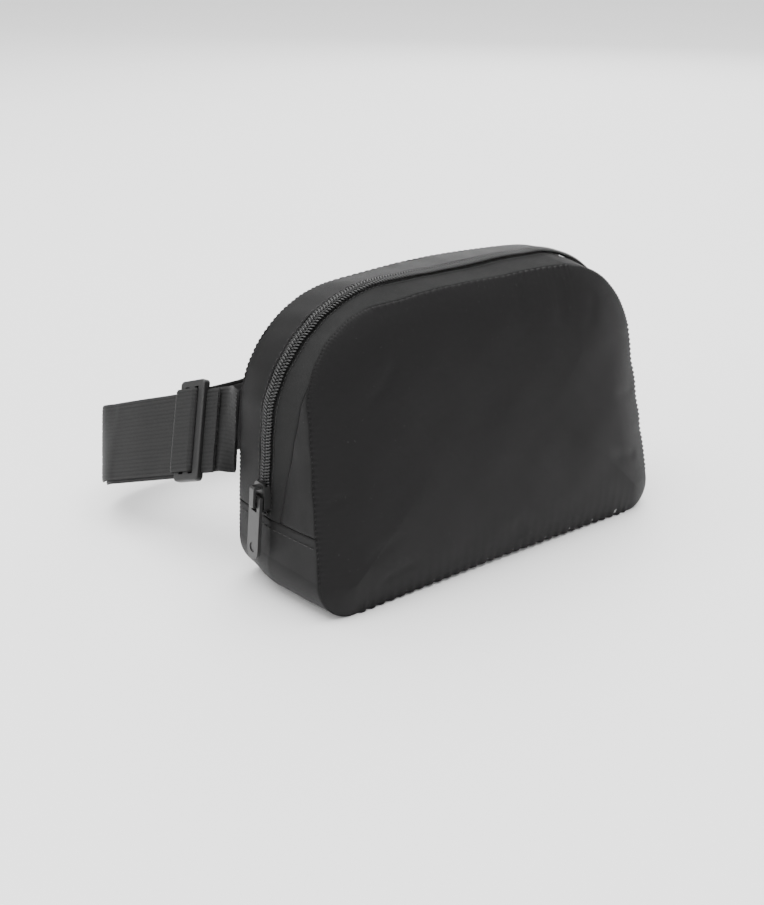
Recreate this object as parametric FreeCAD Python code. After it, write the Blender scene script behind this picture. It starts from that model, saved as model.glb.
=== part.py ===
import FreeCAD, Part
import math
import os

# Belt bag with a zip round its top, on an adjustable webbing belt. Millimetres.
# +X is the bag's right, +Y is its back (towards the wearer), +Z is up.
# The origin is the middle of the base, on the face that the bag stands on.

# ---------------------------------------------------------------- bag outline
bag_half_width = 100.0          # front panel, at its bottom corners
zip_height = 130.2              # top of the bag, along the zip
front_half_top = bag_half_width - 10.0      # at the top corners
front_lean = math.radians(11.4)
front_drop = 4.8                # front seam's top below the zip's
front_height = (zip_height - front_drop) / math.cos(front_lean)     # up its slope
front_foot_y = -30.7            # where the front panel meets the base
front_base_radius = 19.3
front_top_radius = 0.2412 * zip_height      # corners keep their share of the height
front_crown = 1.9

zip_y = 8.6                     # middle of the zip, seen from above
zip_half_base = bag_half_width + 6.5
zip_half_top = bag_half_width - 6.5
zip_top_radius = 0.3187 * zip_height
zip_crown = 0.3
zip_band = 9.2                  # straight band of gusset that the zip lies on

rear_y = 30.2
rear_half_base = bag_half_width + 5.0
rear_half_top = bag_half_width - 2.0
rear_drop = 2.4                 # rear seam's top below the zip's
rear_height = zip_height - rear_drop
rear_top_radius = 0.328 * zip_height
rear_crown = 2.6
body_base_radius = 22.0

seam_z = 37.0                   # seam between the base gusset and what is above it
tape_low_y = -1.5               # front edge of the zip tape at that seam
tape_slope = 0.14               # how fast that edge runs forward on its way up

# ---------------------------------------------------------------- cloth layers
shell = 1.0                     # outer cloth
layer_gap = 0.2
padding = 3.0
lining = 0.6
front_bulge = 8.5
front_bulge_mid = 6.0
bulge_mid_inset = 18.0
bulge_top_inset = 40.0
back_bulge = 2.5
back_bulge_inset = 26.0
binding_thickness = 1.2
binding_width = 6.0
foot_flat = 0.02                # the cloth under the bag is pressed flat by this much
least_radius = 2.0              # corners drawn inwards never get tighter than this
pocket_width = 130.0
pocket_height = 78.0
pocket_foot_z = 16.0
pocket_stand_off = 1.0
pocket_hem = 8.0
pocket_hem_thickness = 0.8
pocket_edge = 2.0               # sewn edge at the foot and both sides

# ---------------------------------------------------------------- zip
coil_width = 6.4
coil_height = 2.2
chain_gap = 0.8                 # between the two rows
tape = 0.5
rear_tape = 5.6                 # from the middle of the zip to the rear gusset
lining_clear = 7.5              # lining stays this far from the middle of the zip

slider_z = 47.0
slider_length = 12.6
slider_wide = 9.6
slider_narrow = 7.4
slider_plate = 1.1
slider_corner = 1.6             # cut corners of the wide end
slider_shoulder = 3.0           # straight sides above those corners
slider_nose = 1.2               # cut corners of the narrow end
slider_clear = 0.35
neck_length = 2.6
neck_inset = 0.6
neck_clear = 0.2
bridge_width = 3.2
bridge_length = 9.8
bridge_bar = 1.3
bridge_room = 2.4               # free height under the bridge
bridge_round = 1.04

pull_eye_radius = 0.8
pull_width = 8.6
pull_thickness = 1.6
pull_length = 29.0              # from the hinge to the tip
pull_hole_length = 6.6
pull_arm_clear = 0.45
pull_dimple_radius = 2.2
pull_dimple_depth = 0.4
pull_dimple_lift = 1.0          # above the middle of the round tip
bite = 0.1                      # how far joined pieces reach into each other

# ---------------------------------------------------------------- belt
web_width = 38.0
web = 1.5
web_gap = 0.5                   # between the two layers of the doubled belt
belt_root_x = bag_half_width + 1.3          # the belt leaves the rear seam here, both sides
belt_root_z = 68.5
belt_root_clear = 0.4
root_lean = math.radians(6.0)   # lower edge stands further out
glide_centre = (-bag_half_width - 7.0, 58.0, 60.3)
run_end = (-bag_half_width - 22.5, 112.0, 40.5)
run_lead = 17.5                 # straight belt before the middle of the tri-glide
run_lean = math.radians(28.0)
root_reach = 4.0                # how far each end of a bend keeps its direction
turn_reach_in = 22.0
turn_reach_out = 26.0
turn_upright = 0.45             # share of the turn after which the belt stands upright
root_steps = 8
turn_steps = 24
ramp_steps = 6
second_clear = 2.0              # second layer starts this far past the tri-glide
back_y = 140.0
back_z = 26.0                   # middle of the belt along the back run
back_half = 90.0

glide_margin = 4.0              # tri-glide each side of the webbing
glide_length = web_width + 2 * glide_margin
glide_width = 16.5
glide_thickness = 3.4
glide_end = 3.2
glide_bar = 3.6
glide_slot = 2.9
glide_fillet = 2.0
glide_rim = 0.8
glide_clear = 0.3
glide_tail = 8.0

# ---------------------------------------------------------------- buckle
buckle_x = 18.0                 # mouth of the socket
socket_length = 36.0
socket_margin = 6.0             # socket each side of the webbing
socket_width = web_width + 2 * socket_margin
socket_thickness = 11.0
socket_wall = 2.0
socket_side_wall = 2.6
socket_room = 25.0              # depth of the mouth
buckle_bar = 4.0
bar_thickness = 4.0
buckle_slot = 4.6
window_start = 6.0
window_length = 13.0
socket_corner = 3.0
slot_room = 1.0                 # beside the webbing in each buckle slot
tongue_shoulder = 8.0
tongue_rail = 3.4
tongue_gap = 0.4                # between the shoulder and the socket's mouth
prong_width = 9.0
prong_length = 20.0
prong_thickness = 3.2
prong_tip = 2.5
root_sunk = 0.5                 # prong and arm roots reach into the shoulder
root_stub = 0.6
root_half = 1.2
arm_length = 21.0
arm_width = 5.0
arm_thickness = 4.0
arm_clear = 0.6
arm_start = 0.9
beam_half_thickness = 1.5
beam_half_width = 1.3
pad_start = 7.0
pad_lead = 2.0
web_spread = 2.3                # inner face of each belt layer beside the tongue's bar
spread_start = 46.0
spread_ramp = 14.0
socket_tail = 18.0

os.makedirs("parts", exist_ok=True)

V = FreeCAD.Vector
across = V(1, 0, 0)
back = V(0, 1, 0)
up = V(0, 0, 1)
far = 400.0
above = 20.0                    # how far cutting shapes reach past the bag
overrun = 5.0


def save(name, shape):
    """Clean one piece and write it to its own file."""
    shape = shape.removeSplitter()
    solids = shape.Solids
    kept = solids[0] if len(solids) == 1 else Part.makeCompound(solids)
    kept.exportStep("parts/" + name + ".step")
    print(f"{name}: {len(solids)} solid, {kept.Volume:.1f} mm3, valid {kept.isValid()}")


# ================================================================ outlines
def rounded_outline(half_base, half_top, height, base_radius, top_radius, crown, inset):
    """Corner points and arc middles of a rounded trapezoid, drawn in by an inset."""
    slope = (half_top - half_base) / height
    side = math.hypot(1.0, slope)
    low = inset
    high = height - inset

    def half_at(level):
        return half_base + slope * level - inset * side

    def corner(level, radius, sign):
        """Tangent points and middle of the arc between the side and a level edge."""
        turn = math.pi / 2 - sign * math.atan(slope)
        reach = radius / math.tan((math.pi - turn) / 2)
        x = half_at(level)
        level_point = (x - reach, level)
        toward = -sign
        side_point = (x + toward * reach * slope / side, level + toward * reach / side)
        centre = (level_point[0], level - sign * radius)
        aim = math.hypot(x - centre[0], level - centre[1])
        middle = (centre[0] + radius * (x - centre[0]) / aim,
                  centre[1] + radius * (level - centre[1]) / aim)
        return level_point, middle, side_point

    base_edge, base_mid, base_side = corner(low, max(base_radius - inset, least_radius), -1)
    top_edge, top_mid, top_side = corner(high, max(top_radius - inset, least_radius), 1)
    left = [(-x, z) for x, z in (base_edge, base_mid, base_side, top_edge, top_mid, top_side)]
    return [("line", left[0], base_edge),
            ("arc", base_edge, base_mid, base_side),
            ("line", base_side, top_side),
            ("arc", top_side, top_mid, top_edge),
            ("arc", top_edge, (0.0, high + crown), left[3]),
            ("arc", left[3], left[4], left[5]),
            ("line", left[5], left[2]),
            ("arc", left[2], left[1], left[0])]


def outline_wire(outline, place):
    """A closed wire from an outline, put in space by a function of its two coordinates."""
    edges = []
    for kind, *points in outline:
        spots = [place(x, z) for x, z in points]
        curve = Part.LineSegment(*spots) if kind == "line" else Part.Arc(*spots)
        edges.append(curve.toShape())
    return Part.Wire(edges)


def front_point(offset):
    """Placement on the leaning front plane, moved back by an offset square to it."""
    def place(x, slope_up):
        return V(x,
                 front_foot_y + slope_up * math.sin(front_lean) + offset * math.cos(front_lean),
                 slope_up * math.cos(front_lean) - offset * math.sin(front_lean))
    return place


def plane_point(y):
    """Placement on an upright plane."""
    def place(x, z):
        return V(x, y, z)
    return place


def front_wire(inset, offset):
    outline = rounded_outline(bag_half_width, front_half_top, front_height,
                              front_base_radius, front_top_radius, front_crown, inset)
    return outline_wire(outline, front_point(offset))


def zip_wire(inset, y):
    outline = rounded_outline(zip_half_base, zip_half_top, zip_height,
                              body_base_radius, zip_top_radius, zip_crown, inset)
    return outline_wire(outline, plane_point(y))


def rear_wire(inset, y):
    outline = rounded_outline(rear_half_base, rear_half_top, rear_height,
                              body_base_radius, rear_top_radius, rear_crown, inset)
    return outline_wire(outline, plane_point(y))


# ================================================================ bag solids
def tube(inset):
    """The space inside the gusset at a depth, open towards the front and the rear."""
    band_front = zip_y - zip_band / 2
    band_rear = zip_y + zip_band / 2
    fore = Part.makeLoft([front_wire(inset, 0.0), zip_wire(inset, band_front)], True, True)
    middle = Part.makeLoft([zip_wire(inset, band_front), zip_wire(inset, band_rear)], True, True)
    aft = Part.makeLoft([zip_wire(inset, band_rear), rear_wire(inset, rear_y)], True, True)
    return fore.fuse([middle, aft])


def open_tube(inset):
    """The same space, run out straight past both open ends."""
    forward = V(0, -math.cos(front_lean), math.sin(front_lean)) * shell
    fore_end = Part.Face(front_wire(inset, 0.0)).extrude(forward)
    rear_end = Part.Face(rear_wire(inset, rear_y)).extrude(back * shell)
    return tube(inset).fuse([fore_end, rear_end])


def sleeve(outer, inner):
    """The wall between two depths."""
    return tube(outer).cut(open_tube(inner))


def front_dome(depth):
    """The pillow of the front panel, at a depth below its outer face."""
    return Part.makeLoft([front_wire(depth, depth),
                          front_wire(depth + bulge_mid_inset, depth - front_bulge_mid),
                          front_wire(depth + bulge_top_inset, depth - front_bulge)], True, True)


def back_dome(depth):
    """The shallow pillow of the back panel, at a depth below its outer face."""
    return Part.makeLoft([rear_wire(depth, rear_y - depth),
                          rear_wire(depth + back_bulge_inset, rear_y + back_bulge - depth)],
                         True, True)


def side_prism(points, x0=-far / 2, x1=far / 2):
    """A prism along X from an outline of (y, z) points."""
    wire = Part.makePolygon([V(x0, y, z) for y, z in points + points[:1]])
    return Part.Face(wire).extrude(V(x1 - x0, 0, 0))


def front_plane_y(z, offset=0.0):
    return front_foot_y + z * math.tan(front_lean) + offset / math.cos(front_lean)


def tape_edge_y(z):
    return tape_low_y - (z - seam_z) * tape_slope


def slab(y_low, y_high, z_low=seam_z, z_high=far / 2):
    return side_prism([(y_low, z_low), (y_high, z_low), (y_high, z_high), (y_low, z_high)])


def bag_pieces():
    gusset = sleeve(0.0, shell)
    top = zip_height + above
    tape_meets_seam = (seam_z * tape_slope + tape_low_y - front_foot_y) / (
        tape_slope + math.tan(front_lean))

    below_seam = slab(-far / 2, far / 2, foot_flat, seam_z)
    save("base_gusset", gusset.common(below_seam))
    save("rear_gusset", gusset.common(slab(zip_y + rear_tape, far / 2)))

    insert_top = tape_meets_seam + overrun
    insert = [(front_plane_y(seam_z, -overrun), seam_z), (tape_edge_y(seam_z), seam_z),
              (tape_edge_y(insert_top), insert_top),
              (front_plane_y(tape_meets_seam, -overrun), insert_top)]
    save("side_insert_left", gusset.common(side_prism(insert, -far / 2, 0.0)))
    save("side_insert_right", gusset.common(side_prism(insert, 0.0, far / 2)))

    tape_shell = sleeve(0.0, tape)
    fore_tape = [(tape_edge_y(seam_z), seam_z), (zip_y - chain_gap / 2, seam_z),
                 (zip_y - chain_gap / 2, top), (tape_edge_y(top), top)]
    save("zip_tape_front", tape_shell.common(side_prism(fore_tape)))
    save("zip_tape_rear", tape_shell.common(slab(zip_y + chain_gap / 2, zip_y + rear_tape)))

    coils = sleeve(-coil_height, 0.0)
    save("zip_coil_front", coils.common(slab(zip_y - coil_width / 2, zip_y - chain_gap / 2)))
    save("zip_coil_rear", coils.common(slab(zip_y + chain_gap / 2, zip_y + coil_width / 2)))

    save("front_panel", front_dome(0.0).cut(front_dome(shell)))
    pad_face = shell + layer_gap
    pad_back = pad_face + padding
    save("front_padding", front_dome(pad_face).cut(front_dome(pad_back)))
    lining_face = pad_back + layer_gap
    lining_back = lining_face + lining
    save("front_lining", front_dome(lining_face).cut(front_dome(lining_back)))
    save("back_panel", back_dome(0.0).cut(back_dome(shell)))
    save("back_padding", back_dome(pad_face).cut(back_dome(pad_back)))
    save("back_lining", back_dome(lining_face).cut(back_dome(lining_back)))

    # The gusset lining stops short of both linings' rims and of the zip.
    clear = lining_back + layer_gap
    between = side_prism([(front_plane_y(-above, clear), -above), (rear_y - clear, -above),
                          (rear_y - clear, top), (front_plane_y(top, clear), top)])
    gusset_wall = sleeve(shell + layer_gap, shell + layer_gap + lining).common(between)
    zip_room = slab(zip_y - lining_clear, zip_y + lining_clear)
    save("gusset_lining", gusset_wall.cut(zip_room))

    bound_face = shell + lining + 2 * layer_gap
    bound = sleeve(bound_face, bound_face + binding_thickness)
    front_strip = side_prism([(front_plane_y(-above, clear), -above),
                              (front_plane_y(-above, clear + binding_width), -above),
                              (front_plane_y(top, clear + binding_width), top),
                              (front_plane_y(top, clear), top)])
    rear_strip = slab(rear_y - clear - binding_width, rear_y - clear, -above)
    save("front_seam_binding", bound.common(front_strip).cut(zip_room))
    save("rear_seam_binding", bound.common(rear_strip))

    # Slip pocket on the back lining: hems at the foot and both sides, open at the top.
    wall_y = rear_y - lining_back
    face_y = wall_y - pocket_stand_off - lining
    half = pocket_width / 2
    face = Part.makeBox(pocket_width, lining, pocket_height, V(-half, face_y, pocket_foot_z))
    foot = Part.makeBox(pocket_width, pocket_stand_off, pocket_edge,
                        V(-half, face_y + lining, pocket_foot_z))
    left = Part.makeBox(pocket_edge, pocket_stand_off, pocket_height,
                        V(-half, face_y + lining, pocket_foot_z))
    right = left.translated(V(pocket_width - pocket_edge, 0, 0))
    save("inner_pocket", face.fuse([foot, left, right]))
    hem = Part.makeBox(pocket_width, pocket_hem_thickness, pocket_hem,
                       V(-half, face_y - pocket_hem_thickness,
                         pocket_foot_z + pocket_height - pocket_hem))
    save("pocket_hem", hem)


# ================================================================ frames
def frame_at(point, along, outward):
    """A placement whose X is outward, Y is across the run and Z is along it."""
    z_axis = V(along).normalize()
    x_axis = (outward - z_axis * outward.dot(z_axis)).normalize()
    y_axis = z_axis.cross(x_axis)
    turn = FreeCAD.Rotation(x_axis, y_axis, z_axis, "ZXY")
    return FreeCAD.Placement(point, turn)


def put(shape, placement):
    moved = shape.copy()
    moved.Placement = placement
    return moved


def block(x0, x1, y0, y1, z0, z1):
    return Part.makeBox(x1 - x0, y1 - y0, z1 - z0, V(x0, y0, z0))


# ================================================================ zip slider
def zip_frame():
    """On the gusset's outer face at the slider, X outward and Z up along the zip."""
    slope = (zip_half_top - zip_half_base) / zip_height
    spot = V(-(zip_half_base + slope * slider_z), zip_y, slider_z)
    along = V(-slope, 0, 1).normalize()
    return frame_at(spot, along, V(-1, 0, 0))


def slider_plate_at(x0, x1):
    half = slider_length / 2
    wide = slider_wide / 2
    narrow = slider_narrow / 2
    cut = -half + slider_corner
    shoulder = cut + slider_shoulder
    nose = half - slider_nose
    points = [(-wide, cut), (-wide + slider_corner, -half), (wide - slider_corner, -half),
              (wide, cut), (wide, shoulder), (narrow, nose),
              (narrow - slider_nose, half), (-narrow + slider_nose, half), (-narrow, nose),
              (-wide, shoulder)]
    return side_prism(points, x0, x1)


def zip_pieces():
    frame = zip_frame()
    half = slider_length / 2
    roof = coil_height + slider_clear
    top_plate = slider_plate_at(roof, roof + slider_plate)
    under = -tape - slider_clear
    low_plate = slider_plate_at(under - slider_plate, under)
    walls = slider_plate_at(slider_clear, roof).cut(
        block(0, roof, -coil_width / 2 - slider_clear, coil_width / 2 + slider_clear, -far, far))
    web_half = chain_gap / 2 - neck_clear
    neck_low = -half + neck_inset
    neck = block(under - bite, roof + bite, -web_half, web_half, neck_low, neck_low + neck_length)
    deck = roof + slider_plate
    reach = bridge_length / 2
    outer = block(deck - bite, deck + bridge_room + bridge_bar, -bridge_width / 2,
                  bridge_width / 2, -reach, reach)
    hollow = block(deck, deck + bridge_room, -far, far, -reach + bridge_bar, reach - bridge_bar)
    bridge = outer.cut(hollow)
    ends = [e for e in bridge.Edges if abs(e.Vertexes[0].X - e.Vertexes[-1].X) < 1e-6
            and abs(e.Vertexes[0].X - (deck + bridge_room + bridge_bar)) < 1e-6
            and abs(e.Vertexes[0].Z - e.Vertexes[-1].Z) < 1e-6]
    bridge = bridge.makeFillet(bridge_round, ends)
    save("zip_slider_body", put(top_plate.fuse([low_plate, walls, neck, bridge]), frame))

    # The pull hangs down the chain from an eye bar that passes under the bridge.
    eye_x = deck + bridge_room / 2
    inner_half = bridge_width / 2 + pull_arm_clear
    half_pull = pull_width / 2
    eye = Part.makeCylinder(pull_eye_radius, pull_width, V(eye_x, -half_pull, 0), back)
    tip_radius = half_pull
    plate = block(eye_x - pull_thickness / 2, eye_x + pull_thickness / 2, -half_pull, half_pull,
                  -(pull_length - tip_radius), 0.0)
    tip = Part.makeCylinder(tip_radius, pull_thickness,
                            V(eye_x - pull_thickness / 2, 0, -(pull_length - tip_radius)), across)
    hole = block(0, far, -inner_half, inner_half, -pull_hole_length, far)
    dimple = Part.makeCylinder(pull_dimple_radius, pull_dimple_depth,
                               V(eye_x + pull_thickness / 2 - pull_dimple_depth, 0,
                                 -(pull_length - tip_radius - pull_dimple_lift)), across)
    tab = plate.fuse(tip).cut(hole).cut(dimple).fuse(eye)
    save("zip_pull_tab", put(tab, frame))
    axis_point = frame.multVec(V(eye_x, 0, 0))
    slide_axis = frame.Rotation.multVec(V(0, 0, 1))
    print("zip pull hinge", tuple(round(v, 3) for v in axis_point),
          "slide axis", tuple(round(v, 5) for v in slide_axis))


# ================================================================ webbing
def station(point, along, lean=0.0):
    """A point of the belt's middle line with its outward and width directions."""
    t = V(along).normalize()
    width = (up - t * up.dot(t)).normalize()
    turned = FreeCAD.Rotation(t, math.degrees(lean))
    width = turned.multVec(width)
    return V(point), width.cross(t), width


def bend_between(start, start_dir, start_reach, end, end_dir, end_reach, leans, count, settled=1.0):
    """Stations along a smooth bend that keeps its direction at both ends.

    The lean has changed from its first to its second value at the settled share of the bend.
    """
    curve = Part.BezierCurve()
    curve.setPoles([V(start), start + start_dir * start_reach, end - end_dir * end_reach, V(end)])
    stations = []
    for i in range(count + 1):
        share = i / count
        ease = 0.5 - 0.5 * math.cos(math.pi * min(share / settled, 1.0))
        lean = leans[0] + (leans[1] - leans[0]) * ease
        stations.append(station(curve.value(share), curve.tangent(share)[0], lean))
    return stations


def strip(stations, inner, outer, width=web_width):
    """One span of webbing between two offsets from its middle line, which may vary."""
    count = len(stations)
    rails = []
    for side, offsets in ((-0.5, inner), (-0.5, outer), (0.5, outer), (0.5, inner)):
        spots = []
        for i, (point, normal, wide) in enumerate(stations):
            lift = offsets[i] if isinstance(offsets, list) else offsets
            spots.append(point + wide * (side * width) + normal * lift)
        if count == 2:
            rails.append(Part.LineSegment(*spots).toShape())
        else:
            curve = Part.BSplineCurve()
            curve.interpolate(spots)
            rails.append(curve.toShape())
    faces = [Part.makeRuledSurface(rails[k], rails[(k + 1) % 4]) for k in range(4)]
    for end in (0, 1):
        corners = [r.valueAt(r.FirstParameter if end == 0 else r.LastParameter) for r in rails]
        faces.append(Part.Face(Part.makePolygon(corners + corners[:1])))
    joined = Part.Shell(faces)
    joined.sewShape()
    solid = Part.Solid(joined)
    if solid.Volume < 0:
        solid.reverse()
    return solid


def mirrored(stations):
    return [(V(-p.x, p.y, p.z), V(-n.x, n.y, n.z), V(-w.x, w.y, w.z)) for p, n, w in stations]


def belt_route():
    """Stations of the left half: root bend, straight run past the tri-glide, turn."""
    centre = V(*glide_centre)
    end = V(*run_end)
    along = (end - centre).normalize()
    start = centre - along * run_lead
    root_point = V(-belt_root_x, rear_y + belt_root_clear, belt_root_z)
    root = bend_between(root_point, back, root_reach, start, along, root_reach,
                        (root_lean, run_lean), root_steps)
    straight = [station(start, along, run_lean), station(end, along, run_lean)]
    entry = V(-back_half, back_y, back_z)
    turn = bend_between(end, along, turn_reach_in, entry, across, turn_reach_out,
                        (run_lean, 0.0), turn_steps, turn_upright)
    return root, straight, turn, along


def webbing_pieces():
    root, straight, turn, along = belt_route()
    near = web_gap / 2
    bar_x = buckle_x - tongue_shoulder - buckle_slot - buckle_bar
    web_end = bar_x + buckle_bar
    level = (V(0, 1, 0), V(0, 0, 1))

    def back_station(x):
        return V(x, back_y, back_z), level[0], level[1]

    flat = [back_station(-back_half), back_station(web_end - spread_start)]
    shares = [i / ramp_steps for i in range(ramp_steps + 1)]
    opening = [back_station(web_end - spread_start + spread_ramp * share) for share in shares]
    ease = [0.5 - 0.5 * math.cos(math.pi * share) for share in shares]
    apart = [near + (web_spread - near) * e for e in ease]
    beside = [back_station(web_end - spread_start + spread_ramp), back_station(web_end)]

    outer = [strip(root, near, near + web), strip(straight, near, near + web),
             strip(turn, near, near + web), strip(flat, near, near + web),
             strip(opening, apart, [a + web for a in apart]),
             strip(beside, web_spread, web_spread + web)]
    # The second layer starts past the tri-glide's furthest place and ends on the tongue's bar.
    second_start = V(*glide_centre) + along * (glide_width / 2 + second_clear)
    second = [station(second_start, along, run_lean), straight[1]]
    inner = [strip(second, -near - web, -near), strip(turn, -near - web, -near),
             strip(flat, -near - web, -near),
             strip(opening, [-a - web for a in apart], [-a for a in apart]),
             strip(beside, -web_spread - web, -web_spread)]
    save("belt_webbing_outer", outer[0].fuse(outer[1:]))
    save("belt_webbing_inner", inner[0].fuse(inner[1:]))

    # Short right strap: one layer from the bag, turned round the socket's bar and sewn back.
    socket_bar = buckle_x + socket_length - buckle_bar
    hub = socket_bar + buckle_bar / 2
    loop_outer = buckle_bar / 2 + glide_clear + web
    loop_inner = loop_outer - web
    pass_x = socket_bar - buckle_slot * 0.5
    right_flat = mirrored([back_station(-back_half), back_station(-(hub + spread_ramp + socket_tail))])
    ramp = [back_station(hub + socket_tail + spread_ramp * (1.0 - share)) for share in shares]
    lift = [loop_inner * e for e in ease]
    last = [back_station(hub + socket_tail), back_station(pass_x)]
    pieces = [strip(mirrored(root), 0.0, web), strip(mirrored(straight), 0.0, web),
              strip(mirrored(turn), 0.0, web), strip(right_flat, 0.0, web),
              strip(ramp, lift, [a + web for a in lift]),
              strip(last, loop_inner, loop_inner + web),
              strip(last, -loop_outer, -loop_inner)]
    low = back_z - web_width / 2
    bend = block(pass_x - web, pass_x, back_y - loop_outer, back_y + loop_outer, low, low + web_width)
    save("belt_webbing_right", pieces[0].fuse(pieces[1:] + [bend]))
    return along


def glide_pieces(along):
    """Tri-glide: two slots and three bars, with the webbing over two of them."""
    centre, outward, width = station(glide_centre, along, run_lean)
    frame = frame_at(centre, along, outward)
    seat = web_gap / 2 + web + glide_clear
    half = glide_length / 2
    reach = glide_width / 2
    body = block(seat, seat + glide_thickness, -half, half, -reach, reach)
    posts = [e for e in body.Edges if abs(e.Vertexes[0].X - e.Vertexes[-1].X) > 1.0]
    body = body.makeFillet(glide_fillet, posts)
    rims = [e for e in body.Edges if abs(e.BoundBox.XMin - (seat + glide_thickness)) < 1e-6]
    body = body.makeFillet(glide_rim, rims)
    slot_half = half - glide_end
    low_slot = block(0, far, -slot_half, slot_half, -reach + glide_bar, -reach + glide_bar + glide_slot)
    high_slot = block(0, far, -slot_half, slot_half, reach - glide_bar - glide_slot, reach - glide_bar)
    save("triglide", put(body.cut(low_slot).cut(high_slot), frame))

    # Webbing drawn over the middle and far bars and round the far bar's edge, with its
    # sewn end coming out under the near bar.
    wide = web_width / 2
    crown = seat + glide_thickness + glide_clear
    slot_face = -reach + glide_bar + glide_clear
    cover = block(crown, crown + web, -wide, wide, slot_face, reach + glide_clear + web)
    edge = block(seat, crown, -wide, wide, reach + glide_clear, reach + glide_clear + web)
    drop = block(seat, crown, -wide, wide, slot_face, slot_face + web)
    save("triglide_webbing_loop", put(cover.fuse([edge, drop]), frame))
    tail = block(seat, seat + web, -wide, wide, -reach - glide_tail, -reach - glide_clear)
    save("webbing_sewn_end", put(tail, frame))
    slide = frame.Rotation.multVec(V(0, 0, 1))
    print("tri-glide slide axis", tuple(round(v, 5) for v in slide))


# ================================================================ buckle
def buckle_frame():
    """At the socket's mouth: X outward (to the back), Y up the width, Z towards the socket."""
    return frame_at(V(buckle_x, back_y, back_z), across, back)


def buckle_pieces():
    frame = buckle_frame()
    deep = socket_thickness / 2
    half = socket_width / 2
    shell_body = block(-deep, deep, -half, half, 0.0, socket_length)
    corners = [e for e in shell_body.Edges if abs(e.Vertexes[0].Z - e.Vertexes[-1].Z) > 1.0]
    shell_body = shell_body.makeFillet(socket_corner, corners)
    room_x = deep - socket_wall
    room_y = half - socket_side_wall
    mouth = block(-room_x, room_x, -room_y, room_y, -1.0, socket_room)
    windows = block(-room_x, room_x, -far, far, window_start, window_start + window_length)
    slot_y = web_width / 2 + slot_room
    slot = block(-far, far, -slot_y, slot_y, socket_length - buckle_bar - buckle_slot,
                 socket_length - buckle_bar)
    # The bar is thinned so that the turned webbing stays inside the buckle's thickness.
    bar_half = bar_thickness / 2
    bar_z = socket_length - buckle_bar - bite
    socket = shell_body.cut([mouth, windows, slot,
                             block(bar_half, far, -slot_y, slot_y, bar_z, far),
                             block(-far, -bar_half, -slot_y, slot_y, bar_z, far)])
    save("buckle_socket", put(socket, frame))

    # Tongue: bar, slot, two rails outside the webbing, shoulder and middle prong.
    rail_y = slot_y + tongue_rail
    z_shoulder = -tongue_shoulder
    z_slot = z_shoulder - buckle_slot
    z_bar = z_slot - buckle_bar
    frame_plate = block(-bar_half, bar_half, -rail_y, rail_y, z_bar, -tongue_gap)
    slot = block(-far, far, -slot_y, slot_y, z_slot, z_shoulder)
    prong = block(-prong_thickness / 2, prong_thickness / 2, -prong_width / 2, prong_width / 2,
                  -root_sunk, prong_length)
    tip = [e for e in prong.Edges if abs(e.BoundBox.ZMin - prong_length) < 1e-6
           and abs(e.Vertexes[0].X - e.Vertexes[-1].X) > 1.0]
    prong = prong.makeFillet(prong_tip, tip)
    arm_out = room_y - arm_clear
    arm_mid = arm_out - arm_width / 2
    roots = [block(-bar_half, bar_half, s * arm_mid - root_half, s * arm_mid + root_half,
                   -root_sunk, root_stub) for s in (-1, 1)]
    save("buckle_tongue", put(frame_plate.cut(slot).fuse([prong] + roots), frame))

    for name, side in (("buckle_arm_upper", 1), ("buckle_arm_lower", -1)):
        inner = side * (arm_out - arm_width)
        outer = side * arm_out
        y0, y1 = min(inner, outer), max(inner, outer)
        beam_mid = side * arm_mid
        beam = block(-beam_half_thickness, beam_half_thickness, beam_mid - beam_half_width,
                     beam_mid + beam_half_width, arm_start, arm_length)
        pad = block(-arm_thickness / 2, arm_thickness / 2, y0, y1, pad_start, arm_length)
        lead = [e for e in pad.Edges if abs(e.BoundBox.ZMin - arm_length) < 1e-6
                and abs(e.Vertexes[0].X - e.Vertexes[-1].X) > 1.0]
        pad = pad.makeFillet(pad_lead, lead)
        save(name, put(beam.fuse(pad), frame))
        root = frame.multVec(V(0, beam_mid, arm_start))
        print(name, "hinge", tuple(round(v, 3) for v in root))

    low = -web_width / 2
    turn = block(-web_spread + glide_clear, web_spread - glide_clear, low, -low,
                 z_slot + glide_clear, z_slot + glide_clear + web)
    save("tongue_webbing_loop", put(turn, frame))


bag_pieces()
zip_pieces()
belt_along = webbing_pieces()
glide_pieces(belt_along)
buckle_pieces()
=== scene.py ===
import math
import bpy
import numpy as np
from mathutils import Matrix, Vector


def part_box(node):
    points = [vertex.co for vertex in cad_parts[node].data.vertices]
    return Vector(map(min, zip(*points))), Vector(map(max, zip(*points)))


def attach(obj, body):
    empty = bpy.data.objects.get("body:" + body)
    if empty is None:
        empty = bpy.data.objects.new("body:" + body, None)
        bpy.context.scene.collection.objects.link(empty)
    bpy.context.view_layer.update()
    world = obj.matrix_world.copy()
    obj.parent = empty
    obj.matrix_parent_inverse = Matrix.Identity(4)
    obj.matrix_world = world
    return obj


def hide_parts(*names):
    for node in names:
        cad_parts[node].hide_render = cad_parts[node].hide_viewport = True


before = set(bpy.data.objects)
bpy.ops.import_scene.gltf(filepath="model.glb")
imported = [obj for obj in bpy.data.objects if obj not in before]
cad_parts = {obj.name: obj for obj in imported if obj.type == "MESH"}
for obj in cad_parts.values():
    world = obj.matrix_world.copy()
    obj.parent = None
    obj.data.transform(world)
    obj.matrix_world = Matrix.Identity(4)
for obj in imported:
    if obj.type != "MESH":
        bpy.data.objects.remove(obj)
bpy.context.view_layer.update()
metre = 0.001  # shapes are worked out in millimetres and stored in metres
print("frame loaded")


# ---- meshes from whole arrays

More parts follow.
